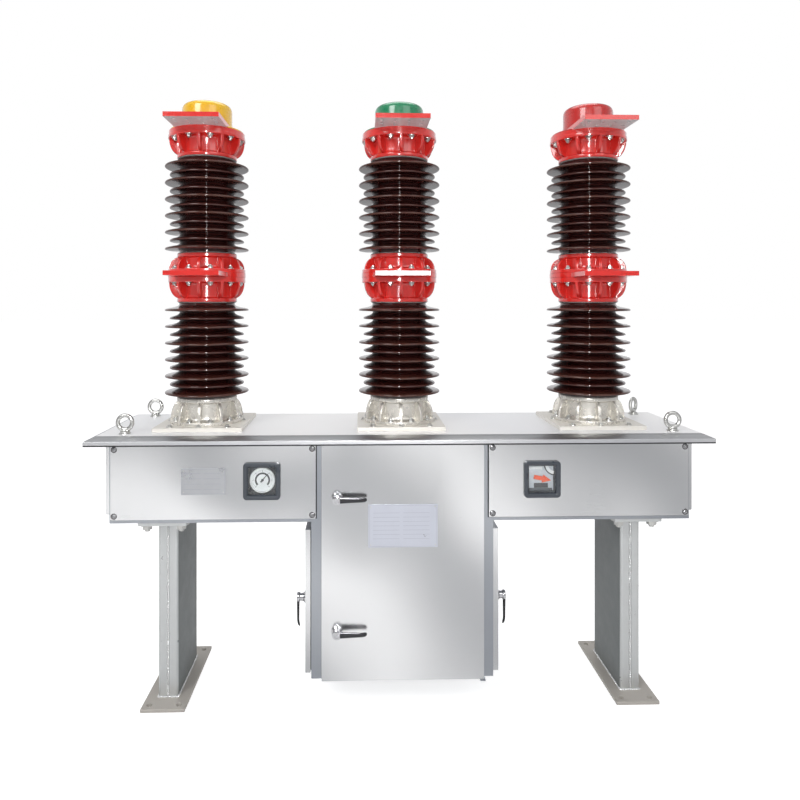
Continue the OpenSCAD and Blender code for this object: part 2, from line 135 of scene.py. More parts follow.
def bevelled(mesh, width, segments=2, angle=40):
    """The mesh with its sharp edges rounded."""
    item = loose(mesh)
    round_off = item.modifiers.new("edges", "BEVEL")
    round_off.width = width
    round_off.segments = segments
    round_off.limit_method = "ANGLE"
    round_off.angle_limit = math.radians(angle)
    item.data.shade_smooth()
    even = item.modifiers.new("flat faces", "WEIGHTED_NORMAL")
    even.mode = "FACE_AREA"
    even.weight = 100
    return baked(item)


def copy_of(node, flat=True):
    """A CAD node's mesh with its loose triangles joined up again."""
    solid = bmesh.new()
    solid.from_mesh(frame["nodes"][node].data)
    bmesh.ops.remove_doubles(solid, verts=solid.verts, dist=0.02 * MM)
    if flat:
        bmesh.ops.dissolve_limit(solid, angle_limit=math.radians(1), verts=solid.verts, edges=solid.edges)
    mesh = bpy.data.meshes.new(node)
    solid.to_mesh(mesh)
    solid.free()
    return mesh


def box_mesh(low, high):
    low, high = Vector(low), Vector(high)
    solid = bmesh.new()
    bmesh.ops.create_cube(solid, size=1)
    bmesh.ops.scale(solid, vec=high - low, verts=solid.verts)
    bmesh.ops.translate(solid, vec=(low + high) / 2, verts=solid.verts)
    mesh = bpy.data.meshes.new("box")
    solid.to_mesh(mesh)
    solid.free()
    return mesh


def joined(meshes, name="joined"):
    """Several meshes as one, each keeping its own materials."""
    solid = bmesh.new()
    result = bpy.data.meshes.new(name)
    for mesh in meshes:
        slots = []
        for material in mesh.materials:
            if material.name not in result.materials:
                result.materials.append(material)
            slots.append(result.materials.find(material.name))
        first = len(solid.faces)
        solid.from_mesh(mesh)
        solid.faces.ensure_lookup_table()
        for face in solid.faces[first:]:
            face.material_index = slots[face.material_index] if slots else 0
    solid.to_mesh(result)
    solid.free()
    return result


def moved(mesh, matrix):
    copy = mesh.copy()
    copy.transform(matrix)
    if matrix.determinant() < 0:
        copy.flip_normals()
    return copy


def painted(mesh, material):
    mesh.materials.clear()
    mesh.materials.append(material)
    return mesh


def rounded(points, radii, steps=5):
    """A profile whose corners are rounded with arcs; a radius of 0 keeps a corner sharp."""
    result = []
    for i, point in enumerate(points):
        here, radius = Vector(point), radii[i] if i < len(radii) else 0
        if radius == 0 or i == 0 or i == len(points) - 1:
            result.append(here)
            continue
        before, after = (Vector(points[i - 1]) - here), (Vector(points[i + 1]) - here)
        half = before.angle(after) / 2
        run = min(radius / math.tan(half), before.length * 0.49, after.length * 0.49)
        start, end = here + before.normalized() * run, here + after.normalized() * run
        for k in range(steps + 1):
            t = k / steps
            result.append(start * (1 - t) ** 2 + here * 2 * t * (1 - t) + end * t * t)
    return result


def lathe(profile, segments=96, centre=(0, 0, 0), closed=False):
    """A solid of revolution about Z from (radius, height) points, its ends on the axis or joined in a ring."""
    solid = bmesh.new()
    rings = []
    for r, z in profile:
        if r < 1e-6:
            rings.append([solid.verts.new((0, 0, z))])
        else:
            rings.append([solid.verts.new((r * math.cos(TURN * i / segments), r * math.sin(TURN * i / segments), z))
                          for i in range(segments)])
    pairs = list(zip(rings, rings[1:])) + ([(rings[-1], rings[0])] if closed else [])
    for low, high in pairs:
        for i in range(segments):
            j = (i + 1) % segments
            corners = [low[i % len(low)], low[j % len(low)], high[j % len(high)], high[i % len(high)]]
            corners = list(dict.fromkeys(corners))
            if len(corners) > 2:
                solid.faces.new(corners)
    bmesh.ops.recalc_face_normals(solid, faces=solid.faces)
    bmesh.ops.translate(solid, vec=centre, verts=solid.verts)
    mesh = bpy.data.meshes.new("lathe")
    solid.to_mesh(mesh)
    solid.free()
    smooth(mesh)
    return mesh


def rounded_square(half_x, half_z, corner, y, steps=5):
    """Points round a square with round corners, standing in the plane y."""
    points = []
    for quarter, (sx, sz) in enumerate(((1, 1), (-1, 1), (-1, -1), (1, -1))):
        for k in range(steps + 1):
            a = (quarter + k / steps) * math.pi / 2
            points.append(Vector((sx * (half_x - corner) + corner * math.cos(a), y,
                                  sz * (half_z - corner) + corner * math.sin(a))))
    return points


def skin(loops, fill_first=True, fill_last=True):
    """A surface through loops of equally many points, with its ends filled."""
    solid = bmesh.new()
    rings = [[solid.verts.new(p) for p in loop] for loop in loops]
    for low, high in zip(rings, rings[1:]):
        for i in range(len(low)):
            j = (i + 1) % len(low)
            solid.faces.new([low[i], low[j], high[j], high[i]])
    if fill_first:
        solid.faces.new(list(reversed(rings[0])))
    if fill_last:
        solid.faces.new(rings[-1])
    bmesh.ops.recalc_face_normals(solid, faces=solid.faces)
    mesh = bpy.data.meshes.new("skin")
    solid.to_mesh(mesh)
    solid.free()
    smooth(mesh)
    return mesh


def cut(mesh, cutter):
    """The mesh less the cutter."""
    item, tool = loose(mesh), loose(cutter)
    knife = item.modifiers.new("cut", "BOOLEAN")
    knife.operation = "DIFFERENCE"
    knife.solver = "EXACT"
    knife.object = tool
    result = baked(item)
    bpy.data.objects.remove(tool)
    return result


def slab(low, high, bevel, holes=(), hole_r=0.0):
    """A flat plate with upright round holes and softened edges."""
    mesh = box_mesh(low, high)
    if holes:
        pegs = []
        for x, y in holes:
            peg = bmesh.new()
            bmesh.ops.create_cone(peg, cap_ends=True, segments=32, radius1=hole_r, radius2=hole_r,
                                  depth=4 * (high[2] - low[2]),
                                  matrix=Matrix.Translation((x, y, (low[2] + high[2]) / 2)))
            one = bpy.data.meshes.new("peg")
            peg.to_mesh(one)
            peg.free()
            pegs.append(one)
        mesh = cut(mesh, joined(pegs))
    return bevelled(mesh, bevel)


# ---- Geometry Nodes ----

class Tree:
    """A Geometry Nodes tree, built one node at a time, that ends in Realize Instances and Set Material."""

    def __init__(self, name, inputs):
        self.group = bpy.data.node_groups.new(name, "GeometryNodeTree")
        face = self.group.interface
        face.new_socket("Geometry", in_out="INPUT", socket_type="NodeSocketGeometry")
        for label, kind in inputs + [("Material", "Material")]:
            face.new_socket(label, in_out="INPUT", socket_type="NodeSocket" + kind)
        face.new_socket("Geometry", in_out="OUTPUT", socket_type="NodeSocketGeometry")
        self.start = self.group.nodes.new("NodeGroupInput")

    def __getitem__(self, label):
        return self.start.outputs[label]

    def add(self, kind, *values, out=0, **options):
        """Adds a node. Values go to its inputs in order, and None leaves one alone. Returns an output."""
        node = self.group.nodes.new(kind)
        for key, value in options.items():
            setattr(node, key, value)
        sockets = [s for s in node.inputs if s.enabled]
        for socket, value in zip(sockets, values):
            if isinstance(value, bpy.types.NodeSocket):
                self.group.links.new(value, socket)
            elif value is not None:
                socket.default_value = value
        return [s for s in node.outputs if s.enabled][out]

    def math(self, operation, *values):
        return self.add("ShaderNodeMath", *values, operation=operation)

    def vector(self, x=0.0, y=0.0, z=0.0):
        return self.add("ShaderNodeCombineXYZ", x, y, z)

    def finish(self, geometry):
        real = self.add("GeometryNodeRealizeInstances", geometry)
        done = self.add("GeometryNodeSetMaterial", real, None, self["Material"])
        self.group.links.new(done, self.group.nodes.new("NodeGroupOutput").inputs[0])
        return self.group

    @staticmethod
    def result(group, base, **values):
        """The mesh that the tree makes from the base mesh with these named values."""
        item = loose(base)
        modifier = item.modifiers.new("nodes", "NODES")
        modifier.node_group = group
        for socket in group.interface.items_tree:
            label = socket.name.replace(" ", "_").lower()
            if socket.in_out == "INPUT" and label in values:
                modifier[socket.identifier] = values[label]
        mesh = baked(item)
        mesh.polygons.foreach_set("material_index", [0] * len(mesh.polygons))
        return painted(mesh, values["material"])


def fastener_tree():
    """Stands a fastener on every point, along the point's own axis, each turned by chance."""
    tree = Tree("fasteners on points", [("Fastener", "Object"), ("Size", "Float"), ("Seed", "Int")])
    shape = tree.add("GeometryNodeObjectInfo", tree["Fastener"], out=4)
    axis = tree.add("GeometryNodeInputNamedAttribute", "axis", data_type="FLOAT_VECTOR")
    aim = tree.add("FunctionNodeAlignRotationToVector", None, None, axis, axis="Z")
    spin = tree.add("FunctionNodeRandomValue", 0.0, TURN, None, tree["Seed"], data_type="FLOAT")
    twist = tree.add("FunctionNodeEulerToRotation", tree.vector(z=spin))
    turn = tree.add("FunctionNodeRotateRotation", aim, twist, rotation_space="LOCAL")
    placed = tree.add("GeometryNodeInstanceOnPoints", tree["Geometry"], None, shape, None, None, turn, tree["Size"])
    return tree.finish(placed)


def ring_tree():
    """Repeats a shape round the Z axis."""
    tree = Tree("shape in a ring", [("Shape", "Object"), ("Count", "Int"), ("Start", "Float"), ("Sweep", "Float")])
    shape = tree.add("GeometryNodeObjectInfo", tree["Shape"], out=4)
    points = tree.add("GeometryNodePoints", tree["Count"])
    index = tree.add("GeometryNodeInputIndex")
    step = tree.math("DIVIDE", tree["Sweep"], tree["Count"])
    angle = tree.math("MULTIPLY_ADD", index, step, tree["Start"])
    turn = tree.add("FunctionNodeEulerToRotation", tree.vector(z=angle))
    placed = tree.add("GeometryNodeInstanceOnPoints", points, None, shape, None, None, turn)
    return tree.finish(placed)


def bead_tree():
    """Lays a weld bead's ripples along every edge of the base mesh."""
    tree = Tree("weld bead", [("Ripple", "Object"), ("Pitch", "Float"), ("Seed", "Int")])
    shape = tree.add("GeometryNodeObjectInfo", tree["Ripple"], out=4)
    curve = tree.add("GeometryNodeMeshToCurve", tree["Geometry"])
    resample = tree.group.nodes.new("GeometryNodeResampleCurve")
    if hasattr(resample, "mode"):
        resample.mode = "LENGTH"
    tree.group.links.new(curve, resample.inputs["Curve"])
    tree.group.links.new(tree["Pitch"], resample.inputs["Length"])
    tangent = tree.add("GeometryNodeInputTangent")
    aim = tree.add("FunctionNodeAlignRotationToVector", None, None, tangent, axis="Z")
    size = tree.add("FunctionNodeRandomValue", 0.8, 1.15, None, tree["Seed"], data_type="FLOAT")
    placed = tree.add("GeometryNodeInstanceOnPoints", resample.outputs[0], None, shape, None, None, aim, size)
    return tree.finish(placed)


def porcelain_tree(steps=22, segments=112):
    """An insulator: one skin whose radius and height follow the rule of its sheds, with flat ends."""
    tree = Tree("shed insulator", [("Sheds", "Int"), ("Pitch", "Float"), ("Core", "Float"), ("Wide", "Float"),
                                   ("Narrow", "Float"), ("Bottom", "Float"), ("First shed", "Float"),
                                   ("Top", "Float")])
    rows = tree.math("MULTIPLY_ADD", tree["Sheds"], float(steps), 1.0)
    grid = tree.add("GeometryNodeMeshGrid", 1.0, 1.0, segments + 1, rows)
    place = tree.add("GeometryNodeInputPosition")
    across = tree.add("ShaderNodeSeparateXYZ", place)
    along = tree.add("ShaderNodeSeparateXYZ", place, out=1)
    angle = tree.math("MULTIPLY", tree.math("ADD", across, 0.5), TURN)
    v = tree.math("ADD", along, 0.5)
    p = tree.math("MULTIPLY", v, tree["Sheds"])
    number = tree.math("MINIMUM", tree.math("FLOOR", tree.math("ADD", p, 0.0001)),
                       tree.math("SUBTRACT", tree["Sheds"], 1.0))
    t = tree.math("SUBTRACT", p, number)

    def follow(points):
        output = tree.add("ShaderNodeFloatCurve", 1.0, t)
        curve = output.node.mapping.curves[0]
        curve.points[0].location = points[0]
        curve.points[1].location = points[-1]
        for point in points[1:-1]:
            curve.points.new(*point)
        output.node.mapping.update()
        return output

    reach = follow([(0, 0), (0.08, 0.06), (0.18, 0.30), (0.34, 0.86), (0.42, 0.975), (0.48, 1.0), (0.54, 0.97),
                    (0.61, 0.84), (0.78, 0.36), (0.90, 0.10), (1, 0)])
    rise = follow([(0, 0), (0.08, 0.07), (0.18, 0.12), (0.34, 0.17), (0.42, 0.20), (0.48, 0.29), (0.54, 0.40),
                   (0.61, 0.48), (0.78, 0.66), (0.90, 0.82), (1, 1.0)])
    odd = tree.math("MODULO", number, 2.0)
    rim = tree.math("MULTIPLY_ADD", odd, tree.math("SUBTRACT", tree["Narrow"], tree["Wide"]), tree["Wide"])
    radius = tree.math("MULTIPLY_ADD", reach, tree.math("SUBTRACT", rim, tree["Core"]), tree["Core"])
    height = tree.math("MULTIPLY_ADD", tree.math("ADD", number, rise), tree["Pitch"], tree["First shed"])
    first = tree.math("LESS_THAN", v, 0.0005)
    last = tree.math("GREATER_THAN", v, 0.9995)
    height = tree.math("MULTIPLY_ADD", first, tree.math("SUBTRACT", tree["Bottom"], height), height)
    height = tree.math("MULTIPLY_ADD", last, tree.math("SUBTRACT", tree["Top"], height), height)
    ring = tree.vector(tree.math("MULTIPLY", radius, tree.math("COSINE", angle)),
                       tree.math("MULTIPLY", radius, tree.math("SINE", angle)), height)
    wall = tree.add("GeometryNodeSetPosition", grid, None, ring)
    ends = []
    for level in ("Bottom", "Top"):
        disc = tree.add("GeometryNodeMeshCircle", segments, tree["Core"], fill_type="NGON")
        ends.append(tree.add("GeometryNodeTransform", disc, tree.vector(z=tree[level])))
    flipped = tree.add("GeometryNodeFlipFaces", ends[0])
    join = tree.group.nodes.new("GeometryNodeJoinGeometry")
    for part in (wall, flipped, ends[1]):
        tree.group.links.new(part, join.inputs[0])
    merged = tree.add("GeometryNodeMergeByDistance", join.outputs[0], None, 0.00005)
    return tree.finish(merged)


FASTENERS, RING, BEAD, PORCELAIN = fastener_tree(), ring_tree(), bead_tree(), porcelain_tree()


def point_cloud(places):
    """A mesh of loose points, each with the axis that its fastener stands along."""
    mesh = bpy.data.meshes.new("points")
    mesh.from_pydata([place for place, axis in places], [], [])
    axes = mesh.attributes.new("axis", "FLOAT_VECTOR", "POINT")
    axes.data.foreach_set("vector", [c for place, axis in places for c in axis])
    return mesh


def fasteners(shape, places, material, size=1.0, seed=1):
    """Copies of one fastener at (place, axis) pairs, as one mesh."""
    sample = loose(shape.copy())
    mesh = Tree.result(FASTENERS, point_cloud(places), fastener=sample, size=size, seed=seed, material=material)
    bpy.data.objects.remove(sample)
    return mesh


def in_ring(shape, count, material, start=0.0, sweep=TURN):
    sample = loose(shape.copy())
    mesh = Tree.result(RING, bpy.data.meshes.new("none"), shape=sample, count=count, start=start, sweep=sweep,
                       material=material)
    bpy.data.objects.remove(sample)
    return mesh


def weld(lines, radius, material, seed=3):
    """Weld beads along straight lines, each a pair of points."""
    base = bpy.data.meshes.new("lines")
    base.from_pydata([p for line in lines for p in line], [(2 * i, 2 * i + 1) for i in range(len(lines))], [])
    drop = bmesh.new()
    bmesh.ops.create_icosphere(drop, subdivisions=1, radius=radius)
    ripple = bpy.data.meshes.new("ripple")
    drop.to_mesh(ripple)
    drop.free()
    ripple.shade_smooth()
    sample = loose(ripple)
    mesh = Tree.result(BEAD, base, ripple=sample, pitch=radius * 1.25, seed=seed, material=material)
    bpy.data.objects.remove(sample)
    return mesh


# ---- Materials ----

class Finish:
    """A material's node tree. Patterns read Object coordinates, in metres."""

    def __init__(self, name, color, rough, metallic=0.0, **values):
        self.material = bpy.data.materials.new(name)
        self.material.use_nodes = True
        self.tree = self.material.node_tree
        self.shader = self.tree.nodes["Principled BSDF"]
        self.place = self.tree.nodes.new("ShaderNodeTexCoord").outputs["Object"]
        self.color = color
        self.set("Base Color", (*color, 1))
        self.set("Roughness", rough)
        self.set("Metallic", metallic)
        for key, value in values.items():
            self.set(key.replace("_", " ").title().replace("Ior", "IOR"), value)
        self.height = None

    def set(self, socket, value):
        if isinstance(value, bpy.types.NodeSocket):
            self.tree.links.new(value, self.shader.inputs[socket])
        else:
            self.shader.inputs[socket].default_value = value

    def node(self, kind, *values, out=0, **options):
        node = self.tree.nodes.new(kind)
        for key, value in options.items():
            setattr(node, key, value)
        sockets = [s for s in node.inputs if s.enabled]
        for socket, value in zip(sockets, values):
            if isinstance(value, bpy.types.NodeSocket):
                self.tree.links.new(value, socket)
            elif value is not None:
                socket.default_value = value
        return [s for s in node.outputs if s.enabled][out]

    def noise(self, scale, stretch=(1, 1, 1), detail=3.0, rough=0.5):
        where = self.node("ShaderNodeMapping", self.place, None, None, stretch)
        return self.node("ShaderNodeTexNoise", where, scale, detail, rough)

    def ramp(self, value, *stops):
        """Maps a value through colour stops of (position, colour)."""
        output = self.node("ShaderNodeValToRGB", value)
        band = output.node.color_ramp
        while len(band.elements) < len(stops):
            band.elements.new(0.5)
        for element, (position, color) in zip(band.elements, stops):
            element.position = position
            element.color = (*color, 1)
        return output

    def span(self, value, low, high):
        """Stretches a noise, which stays near a half, over low to high."""
        return self.node("ShaderNodeMapRange", value, 0.3, 0.7, low, high)

    def mix(self, factor, a, b):
        node = self.tree.nodes.new("ShaderNodeMix")
        node.data_type = "RGBA"
        for name, value in (("Factor_Float", factor), ("A_Color", a), ("B_Color", b)):
            socket = next(s for s in node.inputs if s.identifier == name)
            if isinstance(value, bpy.types.NodeSocket):
                self.tree.links.new(value, socket)
            else:
                socket.default_value = value if name == "Factor_Float" else (*value, 1)
        return next(s for s in node.outputs if s.identifier == "Result_Color")

    def vary(self, factor, darker=0.9, tint=(1, 1, 1)):
        """Lets the base colour drift to a darker, tinted one."""
        other = tuple(c * darker * t for c, t in zip(self.color, tint))
        self.set("Base Color", self.mix(factor, other, self.color))

    def bump(self, value, distance, strength=1.0):
        """Adds a relief of that depth, in metres, on top of earlier ones."""
        node = self.tree.nodes.new("ShaderNodeBump")
        node.inputs["Distance"].default_value = distance
        node.inputs["Strength"].default_value = strength
        self.tree.links.new(value, node.inputs["Height"])
        if self.height:
            self.tree.links.new(self.height, node.inputs["Normal"])
        self.height = node.outputs["Normal"]
        self.set("Normal", self.height)


def stainless(name, color, grain, rough=0.22, dark=0.56, metallic=1.0):
    """Polished sheet: fine grain, faint smears, and soft light and dark bands in place of a hall's reflections."""
    finish = Finish(name, color, rough, metallic)
    fine = finish.noise(900.0, grain, 2.0)
    smear = finish.noise(5.0, (1, 1, 1), 4.0, 0.6)
    across = finish.node("ShaderNodeVectorMath", finish.place, (0.56, 0.35, 0.83), operation="DOT_PRODUCT")
    drift = finish.node("ShaderNodeMapRange", finish.noise(1.6, (1, 1, 1), 1.0), 0.3, 0.7, -1.3, 1.3)
    phase = finish.node("ShaderNodeMath", across, TURN / 0.62, drift, operation="MULTIPLY_ADD")
    wave = finish.node("ShaderNodeMath", finish.node("ShaderNodeMath", phase, 1.05, operation="ADD"),
                       operation="SINE")
    level = finish.node("ShaderNodeMapRange", wave, -1.0, 1.0, 0.0, 1.0)
    finish.vary(level, dark, (0.99, 1.0, 1.02))
    value = finish.node("ShaderNodeMath", finish.span(fine, rough - 0.01, rough + 0.02),
                        finish.span(smear, -0.03, 0.04), operation="ADD")
    finish.set("Roughness", value)
    finish.bump(finish.noise(2.2, (1, 1, 1), 1.0), 0.0004)
    finish.bump(fine, 0.00002, 0.08)
    return finish.material


def enamel(name, color, rough=0.16, peel=0.00012, cast=0.0004):
    """Thick gloss paint on a casting: orange peel over the sand's roughness, thinner on the high spots."""
    finish = Finish(name, color, rough, coat_weight=0.9, coat_roughness=0.06)
    patch = finish.noise(18.0, (1, 1, 1), 5.0, 0.65)
    finish.vary(patch, 0.86, (1.0, 0.9, 0.9))
    finish.set("Roughness", finish.span(patch, rough * 0.8, rough * 1.4))
    finish.bump(finish.noise(90.0, (1, 1, 1), 3.0), cast, 0.5)
    finish.bump(finish.noise(420.0, (1, 1, 1), 1.0), peel, 0.4)
    return finish.material


def glaze():
    """Brown glaze on porcelain, thin and lighter where it has run off the shed rims."""
    finish = Finish("porcelain_glaze", (0.040, 0.0085, 0.0075), 0.12, coat_weight=0.5, coat_roughness=0.05,
                    specular_ior_level=0.22)
    x = finish.node("ShaderNodeSeparateXYZ", finish.place)
    y = finish.node("ShaderNodeSeparateXYZ", finish.place, out=1)
    pitch = POLE_X[2] - POLE_X[1]
    nearest = finish.node("ShaderNodeMath", x, pitch, operation="PINGPONG")
    side = finish.node("ShaderNodeMath", nearest, nearest, operation="MULTIPLY")
    away = finish.node("ShaderNodeMath", y, y, operation="MULTIPLY")
    outer = finish.node("ShaderNodeMath", x, operation="ABSOLUTE")
    outer = finish.node("ShaderNodeMath", outer, pitch * 0.5, operation="GREATER_THAN")
    offset = finish.node("ShaderNodeMath", finish.node("ShaderNodeMath", x, operation="ABSOLUTE"),
                         finish.node("ShaderNodeMath", outer, pitch, operation="MULTIPLY"), operation="SUBTRACT")
    side = finish.node("ShaderNodeMath", offset, offset, operation="MULTIPLY")
    radius = finish.node("ShaderNodeMath", finish.node("ShaderNodeMath", side, away, operation="ADD"),
                         operation="SQRT")
    rim = finish.node("ShaderNodeMapRange", radius, NARROW_SHED - 12 * MM, WIDE_SHED, 0.0, 1.0)
    drift = finish.noise(30.0, (1, 1, 0.4), 4.0, 0.6)
    edge = finish.node("ShaderNodeMath", rim, finish.span(drift, 0.3, 1.0), operation="MULTIPLY")
    finish.set("Base Color", finish.mix(edge, finish.color, (0.075, 0.028, 0.018)))
    finish.set("Roughness", finish.span(drift, 0.09, 0.17))
    finish.bump(finish.noise(60.0, (1, 1, 1), 2.0), 0.00025, 0.3)
    return finish.material


def plain(name, color, rough, metallic=0.0, grain=200.0, depth=0.00008, darker=0.85, **values):
    """A finish with a fine grain, slight patches and a soft change of gloss."""
    finish = Finish(name, color, rough, metallic, **values)
    patch = finish.noise(25.0, (1, 1, 1), 5.0, 0.6)
    finish.vary(patch, darker)
    finish.set("Roughness", finish.span(patch, rough * 0.85, min(rough * 1.2, 1)))
    finish.bump(finish.noise(grain, (1, 1, 1), 3.0), depth, 0.5)
    return finish.material


def glass():
    finish = Finish("window_glass", (0.97, 0.99, 1.0), 0.02, transmission_weight=1.0, ior=1.45)
    finish.bump(finish.noise(8.0), 0.0002, 0.2)
    return finish.material


STEEL = stainless("polished_stainless", (0.86, 0.865, 0.87), (0.02, 1, 1))
# The roof sheet in two copies: a lighter one for its flat top as painted light, and a darker one for its sloping rim
# and sides as painted shade.
ROOF_TOP_LIT_STEEL = stainless("roof_stainless", (0.95, 0.95, 0.945), (0.02, 1, 1), 0.45, 0.93, 0.55)
ROOF_RIM_SHADED_STEEL = stainless("rim_stainless", (0.66, 0.665, 0.675), (0.02, 1, 1), 0.36, 0.85)
STEEL_FRAME = stainless("frame_stainless", (0.42, 0.44, 0.47), (1, 1, 0.02), 0.3, 0.75)
CHROME = plain("chrome", (0.62, 0.62, 0.64), 0.10, 1.0, 300.0, 0.00002, 0.9)
DARK_CHROME = plain("dark_chrome", (0.07, 0.07, 0.075), 0.18, 1.0, 300.0, 0.00002, 0.8)
ZINC = plain("bright_zinc", (0.62, 0.62, 0.60), 0.28, 1.0, 500.0, 0.00003, 0.8)
SCREW = plain("stainless_screw", (0.34, 0.34, 0.35), 0.3, 1.0, 500.0, 0.00003, 0.8)
LEG_PAINT = plain("leg_paint", (0.60, 0.615, 0.615), 0.32, 0.65, 160.0, 0.00002, 0.88)
# The legs' inner faces: a much darker copy of the leg paint, as painted shade.
LEG_INNER_PAINTED_SHADE = plain("leg_side_paint", (0.20, 0.215, 0.215), 0.5, 0.2, 160.0, 0.0001, 0.88)
FOOT_PAINT = plain("foot_paint", (0.50, 0.47, 0.43), 0.5, 0.2, 120.0, 0.00015, 0.85)
# The weld beads: a paint lighter than the legs' and feet's, as painted highlight on the beads.
BEAD_HIGHLIGHT_PAINT = plain("painted_weld", (0.84, 0.85, 0.85), 0.25, 0.6, 200.0, 0.0001, 0.9)
CAST = plain("cast_aluminium", (0.74, 0.715, 0.66), 0.26, 0.55, 140.0, 0.00022, 0.85)
PLATE = plain("plate_paint", (0.76, 0.735, 0.68), 0.42, 0.2, 120.0, 0.00012, 0.9)
RED = enamel("red_enamel", (0.74, 0.026, 0.020))
RED_CAP = enamel("red_cap_enamel", (0.52, 0.012, 0.009), 0.24)
YELLOW = enamel("yellow_enamel", (0.84, 0.53, 0.002), 0.24)
GREEN = enamel("green_enamel", (0.004, 0.24, 0.10), 0.24)
BARE = plain("bare_contact", (0.78, 0.765, 0.765), 0.45, 0.25, 350.0, 0.00012, 0.7)
GLAZE = glaze()
CEMENT = plain("joint_cement", (0.45, 0.43, 0.41), 0.7, 0.0, 220.0, 0.0003, 0.8)
RUBBER = plain("seal_rubber", (0.02, 0.02, 0.022), 0.6, 0.0, 260.0, 0.0001, 0.8)
SLATE = plain("bezel_moulding", (0.045, 0.055, 0.07), 0.3, 0.0, 300.0, 0.0001, 0.8, coat_weight=0.3)
WHITE = plain("white_enamel", (0.80, 0.81, 0.80), 0.35, 0.0, 200.0, 0.00004, 0.95)
GREY = plain("recess_grey", (0.50, 0.53, 0.56), 0.4, 0.1, 200.0, 0.00004, 0.92)
BLACK = plain("black_ink", (0.015, 0.015, 0.017), 0.4, 0.0, 200.0, 0.00002, 0.9)
SILVER = plain("plain_silver", (0.50, 0.51, 0.53), 0.3, 0.9, 400.0, 0.00003, 0.85)
ARROW = plain("arrow_enamel", (0.80, 0.085, 0.012), 0.3, 0.0, 200.0, 0.00004, 0.85)
NAMEPLATE = plain("satin_nameplate", (0.56, 0.58, 0.65), 0.32, 0.45, 400.0, 0.00003, 0.93)
RULE = plain("etched_rule", (0.36, 0.37, 0.44), 0.45, 0.3, 400.0, 0.00002, 0.9)
GLASS = glass()


# ---- Fasteners ----

def hex_bolt(across=19 * MM, head=9 * MM, washer=16 * MM, end=True):
    """A hex head with its chamfer on a washer, pointing along +Z, with the thread's end above a nut."""
    parts = [lathe(rounded([(0, -1 * MM), (washer, -1 * MM), (washer, 2 * MM), (0, 2 * MM)],
                           [0, 0, 0.6 * MM, 0], 2), 28)]
    corner = across / math.sqrt(3)
    solid = bmesh.new()
    bmesh.ops.create_cone(solid, cap_ends=True, segments=6, radius1=corner, radius2=corner, depth=head,
                          matrix=Matrix.Translation((0, 0, 2 * MM + head / 2)))
    nut = bpy.data.meshes.new("nut")
    solid.to_mesh(nut)
    solid.free()
    parts.append(bevelled(nut, 0.9 * MM, 2, 50))
    if end:
        stem = across * 0.29
        top = 2 * MM + head
        parts.append(lathe(rounded([(0, top - 2 * MM), (stem, top - 2 * MM), (stem, top + 5 * MM), (0, top + 5 * MM)],
                                   [0, 0, 1.5 * MM, 0], 3), 20))
    return joined(parts)


def pan_screw(radius=6 * MM):
    """A low round head with a cross recess, in a thin cup washer."""
    head = lathe(rounded([(0, -1 * MM), (radius, -1 * MM), (radius, 1.2 * MM), (radius * 0.5, 3.2 * MM),
                          (0, 3.4 * MM)], [0, 0, 1 * MM, 1 * MM, 0], 3), 24)
    arms = [box_mesh((-radius * 0.55, -0.8 * MM, 2.2 * MM), (radius * 0.55, 0.8 * MM, 6 * MM)),
            box_mesh((-0.8 * MM, -radius * 0.55, 2.2 * MM), (0.8 * MM, radius * 0.55, 6 * MM))]
    for arm in arms:
        head = cut(head, arm)
    smooth(head)
    cup = lathe(rounded([(radius * 0.9, -1 * MM), (radius * 1.35, -1 * MM), (radius * 1.35, 0.5 * MM),
                         (radius * 0.9, 1.0 * MM)], [0, 0, 0.4 * MM, 0], 2), 24, closed=True)
    seat = lathe([(radius * 0.8, -0.6 * MM), (radius * 1.75, -0.6 * MM), (radius * 1.7, 0.4 * MM),
                  (radius * 0.8, 0.4 * MM)], 28, closed=True)
    return joined([head, cup]), seat


def rivet(radius=2.6 * MM):
    return lathe(rounded([(0, -0.5 * MM), (radius, -0.5 * MM), (radius * 0.8, 1.1 * MM), (0, 1.5 * MM)],
                         [0, 0, 0.8 * MM, 0], 3), 16)


HEX, HEX_HEAD, RIVET = hex_bolt(), hex_bolt(17 * MM, 8 * MM, 15 * MM, False), rivet()
PAN, PAN_SEAT = pan_screw()
FRONT, BACK, UP, DOWN = (0, -1, 0), (0, 1, 0), (0, 0, 1), (0, 0, -1)
RIGHT, LEFT = (1, 0, 0), (-1, 0, 0)


# ---- Poles ----

def insulators():
    for side, x in zip(SIDES, POLE_X):
        for level in ("lower", "upper"):
            node = f"{side}_{level}_insulator"
            low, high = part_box(node)
            skin_mesh = Tree.result(
                PORCELAIN, bpy.data.meshes.new("none"), sheds=SHED_COUNT, pitch=SHED_PITCH, core=CORE,
                wide=WIDE_SHED, narrow=NARROW_SHED, bottom=low.z, first_shed=low.z + SPIGOT + 8 * MM,
                top=high.z, material=GLAZE)
            skin_mesh.transform(Matrix.Translation((x, 0, 0)))
            skin_mesh.shade_smooth()
            smooth(skin_mesh, 60)
            piece(f"{node}_glazed", skin_mesh, GLAZE, stands_for=[node])


